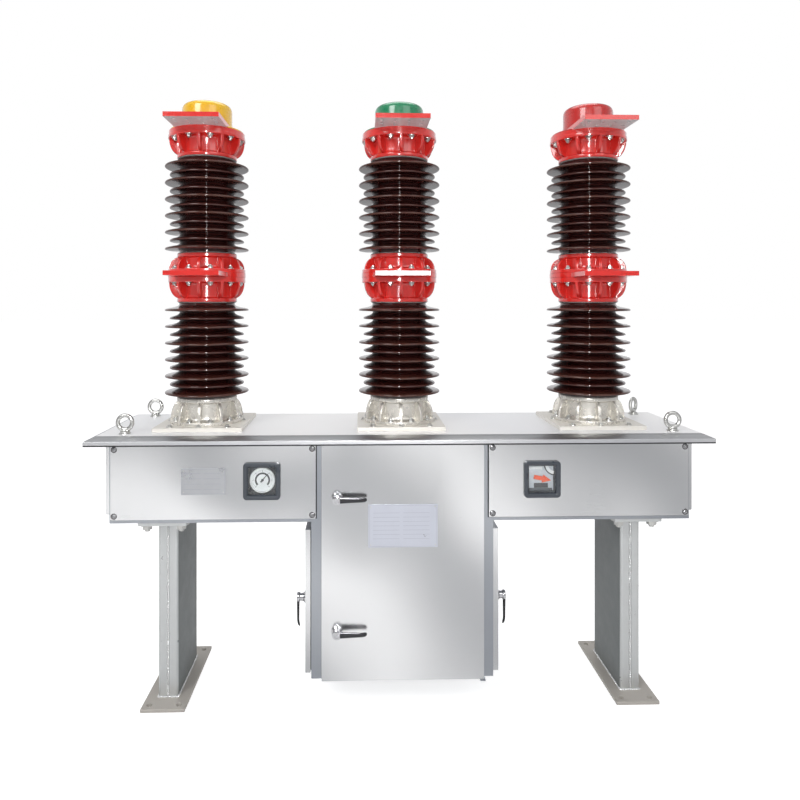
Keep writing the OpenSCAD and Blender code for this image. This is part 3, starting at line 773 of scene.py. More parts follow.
def casting_meshes(height, flange_t, rim, material, bolt_start, face_up=True):
    """A bell with its flange at the bottom: lathed wall, cast fins and the ring of bolts on the flange."""
    wall = COLLAR - 9 * MM
    profile = rounded([(CORE - 3 * MM, height - SPIGOT), (CORE + 0.4 * MM, height - SPIGOT),
                       (CORE + 0.4 * MM, height), (COLLAR, height), (COLLAR, height - 13 * MM), (wall, height - 17 * MM),
                       (wall, flange_t), (rim, flange_t), (rim, 0), (CORE - 3 * MM, 0)],
                      [0, 0, 1 * MM, 3 * MM, 4 * MM, 5 * MM, 13 * MM, 2.5 * MM, 1.5 * MM, 0], 5)
    bell = painted(lathe(profile, 160, closed=True), material)
    reach, rise = rim - 3 * MM - wall, height - flange_t - 13 * MM
    steps, half = 12, 5.5 * MM
    edge = [(wall + reach * math.cos(a), flange_t + rise * math.sin(a))
            for a in (math.pi / 2 * k / steps for k in range(steps + 1))]
    outline = [(wall - 3 * MM, flange_t - 2 * MM), (wall + reach, flange_t - 2 * MM)] + edge
    outline.append((wall - 3 * MM, flange_t + rise))
    fin = bmesh.new()
    near = [fin.verts.new((x, -half, z)) for x, z in outline]
    far = [fin.verts.new((x, half, z)) for x, z in outline]
    fin.faces.new(near)
    fin.faces.new(list(reversed(far)))
    for i in range(len(outline)):
        j = (i + 1) % len(outline)
        fin.faces.new([near[j], near[i], far[i], far[j]])
    bmesh.ops.recalc_face_normals(fin, faces=fin.faces)
    blade = bpy.data.meshes.new("fin")
    fin.to_mesh(blade)
    fin.free()
    blade = bevelled(blade, 3.2 * MM, 3, 50)
    first = math.radians(-90)
    fins = in_ring(blade, RIBS, material, first)
    radius = (wall + rim) / 2 + 3 * MM
    ring = [((radius * math.cos(first + TURN * (i + 0.5) / RIBS), radius * math.sin(first + TURN * (i + 0.5) / RIBS),
              flange_t), UP) for i in range(RIBS)]
    bolts = fasteners(HEX, ring, ZINC, 0.86, bolt_start)
    return [joined([bell, fins]), bolts]


def castings():
    base_h = BASE_HIGH.z - BASE_LOW.z
    top_h = TOP_HIGH.z - TOP_LOW.z
    lower_terminal = TERMINAL_LOW.z
    kinds = [("pole_base_castings", "cast_base", base_h, 12 * MM, BASE_FLANGE, CAST, [(BASE_LOW.z, 1)]),
             ("top_castings", "cast_top", top_h, 12 * MM, FLANGE, RED, [(TOP_HIGH.z, -1)])]
    lower_h, upper_h = lower_terminal - CENTRE_LOW.z, CENTRE_HIGH.z - lower_terminal - TERMINAL_T
    for node, name, height, flange_t, rim, material, places in kinds:
        bells, bolts = [], []
        for z, way in places:
            bell, ring = casting_meshes(height, flange_t, rim, material, 5)
            for x in POLE_X:
                place = Matrix.Translation((x, 0, z)) @ Matrix.Diagonal((1, 1, way, 1))
                bells.append(moved(bell, place))
                bolts.append(moved(ring, place))
        piece(name, joined(bells), None, stands_for=[node])
        piece(f"{name}_bolts", joined(bolts), None)
    bells, bolts = [], []
    for height, flange_t, z, way in ((lower_h, 19 * MM, lower_terminal, -1),
                                     (upper_h, 13 * MM, lower_terminal + TERMINAL_T, 1)):
        bell, ring = casting_meshes(height, flange_t, FLANGE, RED, 9)
        for x in POLE_X:
            place = Matrix.Translation((x, 0, z)) @ Matrix.Diagonal((1, 1, way, 1))
            bells.append(moved(bell, place))
            bolts.append(moved(ring, place))
    piece("cast_centre", joined(bells), None, stands_for=["centre_castings"])
    piece("cast_centre_bolts", joined(bolts), None)


def joint_rings():
    """The cement that shows between each collar and its porcelain."""
    rings = []
    levels = [BASE_HIGH.z, CENTRE_LOW.z, CENTRE_HIGH.z, TOP_LOW.z]
    for x in POLE_X:
        for i, z in enumerate(levels):
            way = 1 if i % 2 == 0 else -1
            profile = [(CORE - 1 * MM, z - way * 2 * MM), (COLLAR - 2 * MM, z - way * 2 * MM),
                       (COLLAR - 3 * MM, z + way * 1.5 * MM), (CORE - 1 * MM, z + way * 4.5 * MM)]
            rings.append(lathe(profile, 96, (x, 0, 0), closed=True))
    piece("joint_cement_rings", joined(rings), CEMENT)


def terminals():
    """Enamelled plates whose contact faces are bare metal."""
    for side, x in zip(SIDES, POLE_X):
        node = f"{side}_terminals"
        mesh = bevelled(copy_of(node), 1.3 * MM, 2, 50)
        painted(mesh, RED).materials.append(BARE)
        low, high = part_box(node)
        plate_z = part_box(f"{side}_cap")[0].z
        for face in mesh.polygons:
            c, n = face.center, face.normal
            under = n.z < -0.7 and abs(c.z - plate_z) < 2 * MM and math.hypot(c.x - x, c.y) > FLANGE - 1 * MM
            bore = abs(n.z) < 0.3 and c.z > plate_z and low.y + 8 * MM < c.y < low.y + 100 * MM \
                and abs(c.x - x) < 84 * MM
            front = side == "middle" and c.z < plate_z - 0.1 and n.y < -0.7 and c.y < low.y + 2 * MM
            face.material_index = 1 if under or bore or front else 0
        piece(f"{node}_enamelled", mesh, None, stands_for=[node])


def caps():
    """Domed hats with a flared brim, notched where the terminal comes out."""
    for side, x, material in zip(SIDES, POLE_X, (YELLOW, GREEN, RED_CAP)):
        node = f"{side}_cap"
        low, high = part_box(node)
        brim, crown, height = (high.x - low.x) / 2, 90 * MM, high.z - low.z
        profile = rounded([(0, 0), (brim, 0), (brim, 6 * MM), (crown + 3 * MM, 10 * MM), (crown, 40 * MM),
                           (crown, height - 8 * MM), (crown * 0.45, height), (0, height)],
                          [0, 0, 2.5 * MM, 28 * MM, 20 * MM, 26 * MM, 40 * MM, 0], 10)
        hat = lathe(profile, 128, (x, 0, low.z))
        half = TERMINAL_W / 2 + 0.3 * MM
        notch = box_mesh((x - half, -FLANGE, low.z - 5 * MM), (x + half, -40 * MM, low.z + TERMINAL_T + 0.3 * MM))
        hat = cut(hat, notch)
        smooth(hat, 40)
        piece(f"{side}_cap_enamelled", painted(hat, material), material,
              stands_for=[node])


TERMINAL_W = 186 * MM


def pole_plates():
    """Square plates under the poles, bolted down through the roof."""
    half = (PLATE_HIGH.y - PLATE_LOW.y) / 2
    plates, bolts = [], []
    reach = half - 24 * MM
    for x in POLE_X:
        plates.append(slab((x - half, -half, PLATE_LOW.z), (x + half, half, PLATE_HIGH.z), 1.6 * MM))
        for dx in (-100 * MM, 0, 100 * MM):
            for dy in (-reach, reach):
                bolts.append(((x + dx, dy, PLATE_HIGH.z), UP))
        for dx in (-reach, reach):
            bolts.append(((x + dx, 0, PLATE_HIGH.z), UP))
    piece("pole_plates_painted", joined(plates), PLATE, stands_for=["pole_mounting_plates"])
    piece("pole_plate_bolts", fasteners(HEX_HEAD, bolts, ZINC, 0.8, 4), None)


# ---- Roof and housing ----

def sheet_parts():
    """Sheet steel pieces whose CAD shape is right, with softened edges and a better finish."""
    parts = [("roof_cover", ROOF_TOP_LIT_STEEL, 0.8), ("left_housing", STEEL_FRAME, 0.8), ("right_housing", STEEL_FRAME, 0.8),
             ("front_panels", STEEL, 2.0), ("back_panels", STEEL, 2.0), ("end_panels", STEEL, 3.0),
             ("cabinet_front_frame", STEEL_FRAME, 0.8), ("cabinet_side_walls", STEEL_FRAME, 0.8),
             ("cabinet_back_wall", STEEL, 0.8), ("cabinet_floor", STEEL_FRAME, 0.8),
             ("door_pivots", STEEL_FRAME, 0.6)]
    for node, material, width in parts:
        mesh = bevelled(copy_of(node), width * MM, 2)
        painted(mesh, material)
        # Painted light and shade on the roof: faces that don't face straight up take the darker rim copy of the sheet,
        # and the flat top takes the lighter one.
        if node == "roof_cover":
            mesh.materials.append(ROOF_RIM_SHADED_STEEL)
            for face in mesh.polygons:
                face.material_index = 1 if face.normal.z < 0.98 else 0
        piece(f"{node}_sheet", mesh, None, stands_for=[node])


def panel_screws():
    """A screw in each corner of every cover panel, and down the end panels."""
    inset = 13 * MM
    places = []
    inner, outer = DOOR_HIGH.x + 19 * MM, PANEL_HIGH.x
    for side in (-1, 1):
        for x in (inner + inset, outer - inset):
            for z in (PANEL_LOW.z + inset, PANEL_HIGH.z - inset):
                places.append(((side * x, PANEL_LOW.y, z), FRONT))
                places.append(((side * x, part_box("back_panels")[1].y, z), BACK))
        low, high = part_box("end_panels")
        for y in (low.y + inset, high.y - inset):
            for z in (low.z + inset, high.z - inset):
                places.append(((side * high.x, y, z), (side, 0, 0)))
    piece("panel_screws", fasteners(PAN, places, SCREW, 1.0, 7), None)
    piece("panel_screw_seals", fasteners(PAN_SEAT, places, RUBBER, 1.0, 7), None)


def roof_edge():
    """Mitre seams at the roof's corners, and a black strip under its lip as painted shadow in the gap beneath the roof.
    """
    lines = []
    low, high = ROOF_LOW, ROOF_HIGH
    run, drop = 32 * MM, 13 * MM
    for sx in (-1, 1):
        for sy in (-1, 1):
            top = Vector((sx * (high.x - run), sy * (high.y - run), high.z))
            rim = Vector((sx * high.x, sy * high.y, high.z - drop))
            inward = Vector((-sx, -sy, -1)) * 2.0 * MM
            lines.append((top + inward, rim + inward))
    piece("roof_corner_welds", weld(lines, 1.6 * MM, ROOF_TOP_LIT_STEEL), None)
    # A black strip round the underside of the lip: painted shadow for the dark gap under the roof.
    t, top, bottom = 3 * MM, low.z + 1 * MM, low.z - 4.5 * MM
    strips = []
    for s in (-1, 1):
        y0, y1 = sorted((s * high.y, s * (high.y - t)))
        strips.append(box_mesh((low.x + t, y0 + 0.4 * MM, bottom), (high.x - t, y1 - 0.4 * MM, top)))
        x0, x1 = sorted((s * high.x, s * (high.x - t)))
        strips.append(box_mesh((x0 + 0.4 * MM, low.y + 0.4 * MM, bottom), (x1 - 0.4 * MM, high.y - 0.4 * MM, top)))
    piece("roof_edge_trim", joined(strips), RUBBER)


def eye_mesh(turn):
    """A forged lifting eye on its collar, standing on the origin."""
    ring_r, bar = 24.5 * MM, 7 * MM
    centre = 8 * MM + ring_r + bar - 2 * MM
    solid = bmesh.new()
    around, across = 56, 20
    rows = []
    for i in range(around):
        a = TURN * i / around
        thick = bar * (1 + 0.12 * max(0, -math.sin(a)))
        rows.append([solid.verts.new(((ring_r + thick * math.cos(TURN * k / across)) * math.cos(a),
                                      0.92 * thick * math.sin(TURN * k / across),
                                      centre + (ring_r + thick * math.cos(TURN * k / across)) * math.sin(a)))
                     for k in range(across)])
    for i in range(around):
        for k in range(across):
            solid.faces.new([rows[i][k], rows[(i + 1) % around][k], rows[(i + 1) % around][(k + 1) % across],
                             rows[i][(k + 1) % across]])
    bmesh.ops.recalc_face_normals(solid, faces=solid.faces)
    ring = bpy.data.meshes.new("ring")
    solid.to_mesh(ring)
    solid.free()
    ring.shade_smooth()
    collar = lathe(rounded([(0, 0), (20 * MM, 0), (20 * MM, 2.5 * MM), (16 * MM, 2.5 * MM), (16 * MM, 8 * MM),
                            (9.5 * MM, 10 * MM), (8 * MM, 15 * MM), (0, 15 * MM)],
                           [0, 0, 1 * MM, 0.5 * MM, 2.5 * MM, 3 * MM, 2 * MM, 0], 4), 40)
    return moved(joined([ring, collar]), Matrix.Rotation(turn, 4, "Z"))


def lifting_eyes():
    low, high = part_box("lifting_eyes")
    x, y = high.x - 31.5 * MM, 165 * MM
    turns = {(-1, -1): 0, (-1, 1): 0, (1, -1): 0, (1, 1): math.radians(42)}
    eyes = [moved(eye_mesh(turn), Matrix.Translation((sx * x, sy * y, low.z))) for (sx, sy), turn in turns.items()]
    piece("lifting_eyes_forged", joined(eyes), ZINC, stands_for=["lifting_eyes"])


# ---- Doors ----

def doors():
    for node in ("front_door", "left_side_door", "right_side_door"):
        mesh = bevelled(copy_of(node), 2.4 * MM, 3)
        piece(f"{node}_sheet", painted(mesh, STEEL), STEEL, body=node, stands_for=[node])


def door_seals():
    """Rubber seals round each doorway and behind the cover panels' edges, on the cabinet's face; the black that shows
    past the front door's and panels' edges is painted shadow for the gaps round them.
    """
    meshes = []
    thick = 9 * MM

    def strip_frame(points):
        """Four strips in a rectangle, from opposite corners given as (low, high) and the flat axis."""
        low, high, flat = points
        wide = [i for i in range(3) if i != flat]
        for axis in wide:
            for end in (0, 1):
                a, b = Vector(low), Vector(high)
                if end:
                    a[axis] = high[axis] - thick
                else:
                    b[axis] = low[axis] + thick
                other = wide[0] if axis == wide[1] else wide[1]
                if axis == wide[1]:
                    a[other] += thick + 0.1 * MM
                    b[other] -= thick + 0.1 * MM
                meshes.append(bevelled(box_mesh(a, b), 1.0 * MM, 2))

    # Where the seals reach past the front door and the cover panels, their black is painted shadow in the gaps round
    # those edges.
    face, show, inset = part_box("cabinet_front_frame")[0].y, 2 * MM, 3 * MM
    strip_frame(((DOOR_LOW.x - show, face - 3.4 * MM, DOOR_LOW.z - show),
                 (DOOR_HIGH.x + show, face, DOOR_HIGH.z + 1 * MM), 1))
    for side in (-1, 1):
        x0, x1 = sorted((side * (DOOR_HIGH.x + 16.5 * MM), side * (PANEL_HIGH.x + 2.5 * MM)))
        strip_frame(((x0, PANEL_HIGH.y - 1.8 * MM, PANEL_LOW.z - 3 * MM), (x1, PANEL_HIGH.y, PANEL_HIGH.z + show), 1))
    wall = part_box("cabinet_side_walls")[1].x
    low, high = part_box("right_side_door")
    strip_frame(((wall, low.y + inset, low.z + 6 * MM), (wall + 3.4 * MM, high.y - inset, high.z - 6 * MM), 0))
    strip_frame(((-wall - 3.4 * MM, low.y + inset, low.z + 6 * MM), (-wall, high.y - inset, high.z - 6 * MM), 0))
    piece("door_seals", joined(meshes), RUBBER)


def handle_mesh():
    """A lever handle whose shaft points along -Y from the door's face, with its lever along +X."""
    upright = Matrix.Rotation(math.radians(90), 4, "X")
    rose = lathe(rounded([(0, 0.5 * MM), (20 * MM, 0.5 * MM), (20 * MM, 4 * MM), (14 * MM, 8 * MM), (12 * MM, 22 * MM),
                          (0, 22 * MM)], [0, 0, 1.5 * MM, 2 * MM, 1.5 * MM, 0], 4), 48)
    hub = lathe(rounded([(0, 20 * MM), (14.5 * MM, 20 * MM), (16.5 * MM, 24 * MM), (16 * MM, 30 * MM),
                         (9 * MM, 31.9 * MM), (8.4 * MM, 30.6 * MM), (0, 30.6 * MM)],
                        [0, 2 * MM, 2 * MM, 2 * MM, 0.5 * MM, 0.3 * MM, 0], 4), 48)
    slot_cut = box_mesh((-6 * MM, -1.1 * MM, 29.2 * MM), (6 * MM, 1.1 * MM, 36 * MM))
    hub = cut(hub, slot_cut)
    smooth(hub)
    tip, root = 100 * MM, 10 * MM
    loops = []
    steps = 14
    for i in range(steps + 1):
        t = i / steps
        x = root + (tip - root) * t
        half = (11 - 4.2 * t ** 0.8) * MM
        deep = (4.6 - 1.2 * t) * MM
        if i == steps:
            half, deep = half * 0.55, deep * 0.5
        y = -27.2 * MM + 5 * MM * max(0.0, (t - 0.75) / 0.25) ** 2
        loops.append([Vector((x, y + deep * math.copysign(abs(math.sin(a)) ** 0.7, math.sin(a)),
                              half * math.copysign(abs(math.cos(a)) ** 0.7, math.cos(a))))
                      for a in (TURN * k / 24 for k in range(24))])
    lever = painted(skin(loops), DARK_CHROME)
    return joined([painted(moved(rose, upright), CHROME), painted(moved(hub, upright), CHROME), lever])


def handles():
    shape = handle_mesh()
    hang = Matrix.Rotation(math.radians(90), 4, "Y")
    for node in ("upper_front_handle", "lower_front_handle", "left_side_handle", "right_side_handle"):
        place = Matrix.Translation(JOINT[node])
        if node == "right_side_handle":
            place = place @ Matrix.Rotation(math.radians(90), 4, "Z") @ hang
        if node == "left_side_handle":
            place = place @ Matrix.Rotation(math.radians(-90), 4, "Z") @ hang
        piece(f"{node}_chrome", moved(shape, place), None, body=node, stands_for=[node])


def nameplate(node, body, columns, rows, material=NAMEPLATE):
    """A bare plate with blank ruled lines and a rivet in each corner."""
    low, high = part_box(node)
    plate = painted(bevelled(copy_of(node), 0.5 * MM, 2), material)
    width, height = high.x - low.x, high.z - low.z
    lines = []
    for column in range(columns):
        left = low.x + width * (0.07 + column * 0.86 / columns)
        right = left + width * 0.86 / columns - 0.05 * width
        for row in range(rows):
            z = low.z + height * (0.20 + 0.60 * row / (rows - 1))
            lines.append(box_mesh((left, low.y - 0.12 * MM, z), (right, low.y + 0.3 * MM, z + 0.8 * MM)))
    edge, t, front = 3 * MM, 0.8 * MM, low.y - 0.12 * MM
    for z in (low.z + edge, high.z - edge - t):
        lines.append(box_mesh((low.x + edge, front, z), (high.x - edge, low.y + 0.3 * MM, z + t)))
    for x in (low.x + edge, high.x - edge - t):
        lines.append(box_mesh((x, front, low.z + edge + t), (x + t, low.y + 0.3 * MM, high.z - edge - t)))
    rules = painted(joined(lines), RULE)
    inset = 8 * MM
    places = [((x, low.y, z), FRONT) for x in (low.x + inset, high.x - inset) for z in (low.z + inset, high.z - inset)]
    rivets = fasteners(RIVET, places, ZINC, 1.0, 2)
    piece(f"{node}_plate", joined([plate, rules, rivets]), None, body=body, stands_for=[node])


# ---- Windows ----

def window_frame(x, z):
    """A moulded bezel with a raised lip, and the case behind it."""
    front, back = CASE_LOW.y, CASE_HIGH.y
    half = (CASE_HIGH.z - CASE_LOW.z) / 2
    inner = half - 16.5 * MM
    rings = [(half, 12, front + 10 * MM), (half, 12, front + 2.5 * MM), (half - 0.8 * MM, 11.5, front + 0.8 * MM),
             (half - 2.5 * MM, 10, front), (inner + 6 * MM, 5, front), (inner + 4.5 * MM, 4, front + 0.8 * MM),
             (inner + 0.6 * MM, 2.5, front + 5.0 * MM), (inner, 2, front + 6.5 * MM), (inner, 2, back - 3 * MM)]
    shell = skin([rounded_square(h, h, c * MM, y) for h, c, y in rings], False, False)
    outer = [(inner + 3 * MM, 2, back), (inner + 3 * MM, 2, front + 10 * MM), (half, 12, front + 10 * MM)]
    floor_ring = [rounded_square(inner, inner, 2 * MM, back - 3 * MM)]
    case = skin([rounded_square(h, h, c * MM, y) for h, c, y in reversed(outer)], False, True)
    floor = skin([floor_ring[0], [p * 1.0 for p in rounded_square(inner * 0.5, inner * 0.5, 1 * MM, back - 3 * MM)]],
                 False, True)
    whole = bmesh.new()
    for mesh in (shell, case, floor):
        whole.from_mesh(mesh)
    bmesh.ops.remove_doubles(whole, verts=whole.verts, dist=0.01 * MM)
    bmesh.ops.recalc_face_normals(whole, faces=whole.faces)
    result = bpy.data.meshes.new("window")
    whole.to_mesh(result)
    whole.free()
    smooth(result, 30)
    return moved(result, Matrix.Translation((x, 0, z)))


def windows():
    z = (CASE_LOW.z + CASE_HIGH.z) / 2
    half = (CASE_HIGH.z - CASE_LOW.z) / 2
    x = CASE_HIGH.x - half
    piece("window_frames", joined([window_frame(-x, z), window_frame(x, z)]), SLATE,
          stands_for=["window_cases"])
    low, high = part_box("window_glasses")
    side = half - 17 * MM
    panes = [bevelled(box_mesh((sx * x - side, low.y, z - side), (sx * x + side, high.y, z + side)), 0.4 * MM)
             for sx in (-1, 1)]
    piece("window_panes", joined(panes), GLASS, stands_for=["window_glasses"])
    gauge_face(-x, z)
    indicator_face(x, z)


def facing_front(mesh, x, y, z):
    """Turns a shape drawn round +Z so that it looks along -Y, at a place."""
    return moved(mesh, Matrix.Translation((x, y, z)) @ Matrix.Rotation(math.radians(90), 4, "X"))


def gauge_face(x, z):
    low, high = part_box("gauge_dial")
    radius = (high.x - low.x) / 2
    y = low.y
    disc = lathe(rounded([(0, -26 * MM), (radius * 0.5, -26 * MM), (radius * 0.5, -3 * MM), (radius, -3 * MM),
                          (radius, 0), (0, 0)], [0, 0, 0, 0, 0.4 * MM, 0], 2), 96)
    rim = lathe(rounded([(radius - 5 * MM, -2 * MM), (radius, -2 * MM), (radius, 4 * MM), (radius - 2.5 * MM, 5.5 * MM),
                         (radius - 5 * MM, 1 * MM)], [0, 0, 1.5 * MM, 1 * MM, 0], 4), 96, closed=True)
    piece("gauge_dial_face", facing_front(disc, x, y, z), WHITE, stands_for=["gauge_dial"])
    piece("gauge_dial_rim", facing_front(rim, x, y, z), WHITE)
    start, sweep = math.radians(-45), math.radians(270)
    marks = []
    for count, inner, outer, wide in ((30, 0.72, 0.80, 0.5), (6, 0.66, 0.80, 1.2)):
        tick = box_mesh((radius * inner, -wide / 2 * MM, -0.2 * MM), (radius * outer, wide / 2 * MM, 0.35 * MM))
        marks.append(in_ring(tick, count + 1, BLACK, start, sweep * (count + 1) / count))
    arc = []
    for k in range(49):
        a = start + sweep * k / 48
        arc.append([Vector((radius * r * math.cos(a), radius * r * math.sin(a), h)) for r, h in
                    ((0.46, -0.2 * MM), (0.60, -0.2 * MM), (0.60, 0.25 * MM), (0.46, 0.25 * MM))])
    marks.append(painted(skin(arc), BLACK))
    piece("gauge_marks", facing_front(joined(marks), x, y, z), BLACK)
    needle = lathe(rounded([(0, 0.6 * MM), (4.5 * MM, 0.6 * MM), (4.5 * MM, 3.4 * MM), (0, 4.2 * MM)],
                           [0, 0, 1 * MM, 0], 3), 32)
    blade = skin([[Vector((-9 * MM, -2.6 * MM, 2.0 * MM)), Vector((-9 * MM, 2.6 * MM, 2.0 * MM)),
                   Vector((radius * 0.68, 0.5 * MM, 2.0 * MM)), Vector((radius * 0.68, -0.5 * MM, 2.0 * MM))],
                  [Vector((-9 * MM, -2.6 * MM, 3.0 * MM)), Vector((-9 * MM, 2.6 * MM, 3.0 * MM)),
                   Vector((radius * 0.68, 0.5 * MM, 3.0 * MM)), Vector((radius * 0.68, -0.5 * MM, 3.0 * MM))]])
    blade = moved(blade, Matrix.Rotation(math.radians(50), 4, "Z"))
    piece("gauge_needle_blade", facing_front(joined([needle, blade]), x, y, z), BLACK, body="gauge_needle",
          stands_for=["gauge_needle"])


def indicator_face(x, z):
    low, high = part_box("indicator_plate")
    half = (high.x - low.x) / 2
    y = low.y
    plate = bevelled(copy_of("indicator_plate"), 0.6 * MM)
    piece("indicator_plate_face", painted(plate, GREY), GREY, stands_for=["indicator_plate"])

    def band(inner, outer, rise, material):
        """A curved band across the upper right corner."""
        loops = []
        for k in range(25):
            a = math.radians(188 + 74 * k / 24)
            loops.append([Vector((x + half * (1.12 + r * math.cos(a)), y - h, z + half * (1.12 + r * math.sin(a))))
                          for r, h in ((inner, 0), (outer, 0), (outer, rise), (inner, rise))])
        return painted(skin(loops), material)

    strip = [band(0.55, 0.80, 1.2 * MM, WHITE), band(0.80, 0.90, 1.5 * MM, BLACK),
             painted(box_mesh((x - half, y - 1 * MM, z + half * 0.70), (x + half * 0.1, y, z + half * 0.94)), WHITE),
             painted(box_mesh((x - half, y - 1 * MM, z + half * 0.36), (x + half * 0.35, y, z + half * 0.62)), SILVER),
             painted(box_mesh((x - half, y - 1 * MM, z - half), (x + half * 0.9, y, z - half * 0.80)), SLATE),
             # The black block under the arrow is painted shadow cast by the arrow.
             painted(box_mesh((x - half * 0.6, y - 1.2 * MM, z - half * 0.78), (x + half * 0.55, y, z - half * 0.40)),
                     BLACK)]
    piece("indicator_bands", joined(strip), None)
    arrow = copy_of("position_pointer")
    mesh = painted(bevelled(arrow, 0.5 * MM, 2, 50), ARROW)
    piece("position_arrow", mesh, ARROW, body="position_pointer", stands_for=["position_pointer"])


# ---- Legs ----

def legs():
    for side, node in ((-1, "left_leg"), (1, "right_leg")):
        low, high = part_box(node)
        x = (low.x + high.x) / 2
        foot_half, foot_t = 75 * MM, 12 * MM
        holes = [(x + sx * 50 * MM, sy * 175 * MM) for sx in (-1, 1) for sy in (-1, 1)]
        foot = painted(slab((x - foot_half, low.y, low.z), (x + foot_half, high.y, low.z + foot_t), 1.8 * MM, holes,
                            9 * MM), FOOT_PAINT)
        head = painted(slab((low.x, low.y, high.z - foot_t), (high.x, high.y, high.z), 1.8 * MM), LEG_PAINT)
        half_x, half_y = 35 * MM, 131 * MM
        loops = []
        for z in (low.z + foot_t, high.z - foot_t):
            loops.append([Vector((x + p.x, p.z, z)) for p in rounded_square(half_x, half_y, 11 * MM, 0, 8)])
        column = painted(skin(loops), LEG_PAINT)
        # Painted shade: the column's face towards the middle of the object takes the dark copy of the leg paint.
        column.materials.append(LEG_INNER_PAINTED_SHADE)
        for face in column.polygons:
            face.material_index = 1 if face.normal.x * side < -0.9 else 0
        groove = [box_mesh((x - 4.5 * MM, y - 2.5 * MM, low.z), (x + 4.5 * MM, y + 2.5 * MM, high.z))
                  for y in (-half_y, half_y)]
        for tool in groove:
            column = cut(column, tool)
        smooth(column)
        seams = [((x, y, low.z + foot_t), (x, y, high.z - foot_t)) for y in (-half_y, half_y)]
        # The seam and foot beads take the lighter bead paint as painted highlight.
        bead = weld(seams, 3.0 * MM, BEAD_HIGHLIGHT_PAINT, 5 + side)
        corner_x, corner_y, z = half_x - 3 * MM, half_y - 3 * MM, low.z + foot_t
        foot_seams = [((x - corner_x, -half_y, z), (x + corner_x, -half_y, z)),
                      ((x - corner_x, half_y, z), (x + corner_x, half_y, z)),
                      ((x - half_x, -corner_y, z), (x - half_x, corner_y, z)),
                      ((x + half_x, -corner_y, z), (x + half_x, corner_y, z))]
        fillet = weld(foot_seams, 4.0 * MM, BEAD_HIGHLIGHT_PAINT, 8 + side)
        top_seams = [(Vector(a) + Vector((0, 0, high.z - z - foot_t)), Vector(b) + Vector((0, 0, high.z - z - foot_t)))
                     for a, b in foot_seams]
        top_fillet = weld(top_seams, 3.4 * MM, LEG_PAINT, 11 + side)
        piece(f"{node}_welded", joined([foot, head, column, bead, fillet, top_fillet]), None,
              stands_for=[node])
        places = [((x + sx * 58 * MM, sy * 172 * MM, high.z - foot_t), DOWN) for sx in (-1, 1) for sy in (-1, 0, 1)]
        bolts = fasteners(HEX, places, ZINC, 1.6, 12 + side)
        piece(f"{node}_head_bolts", bolts, None)


# ---- Light, floor and camera ----

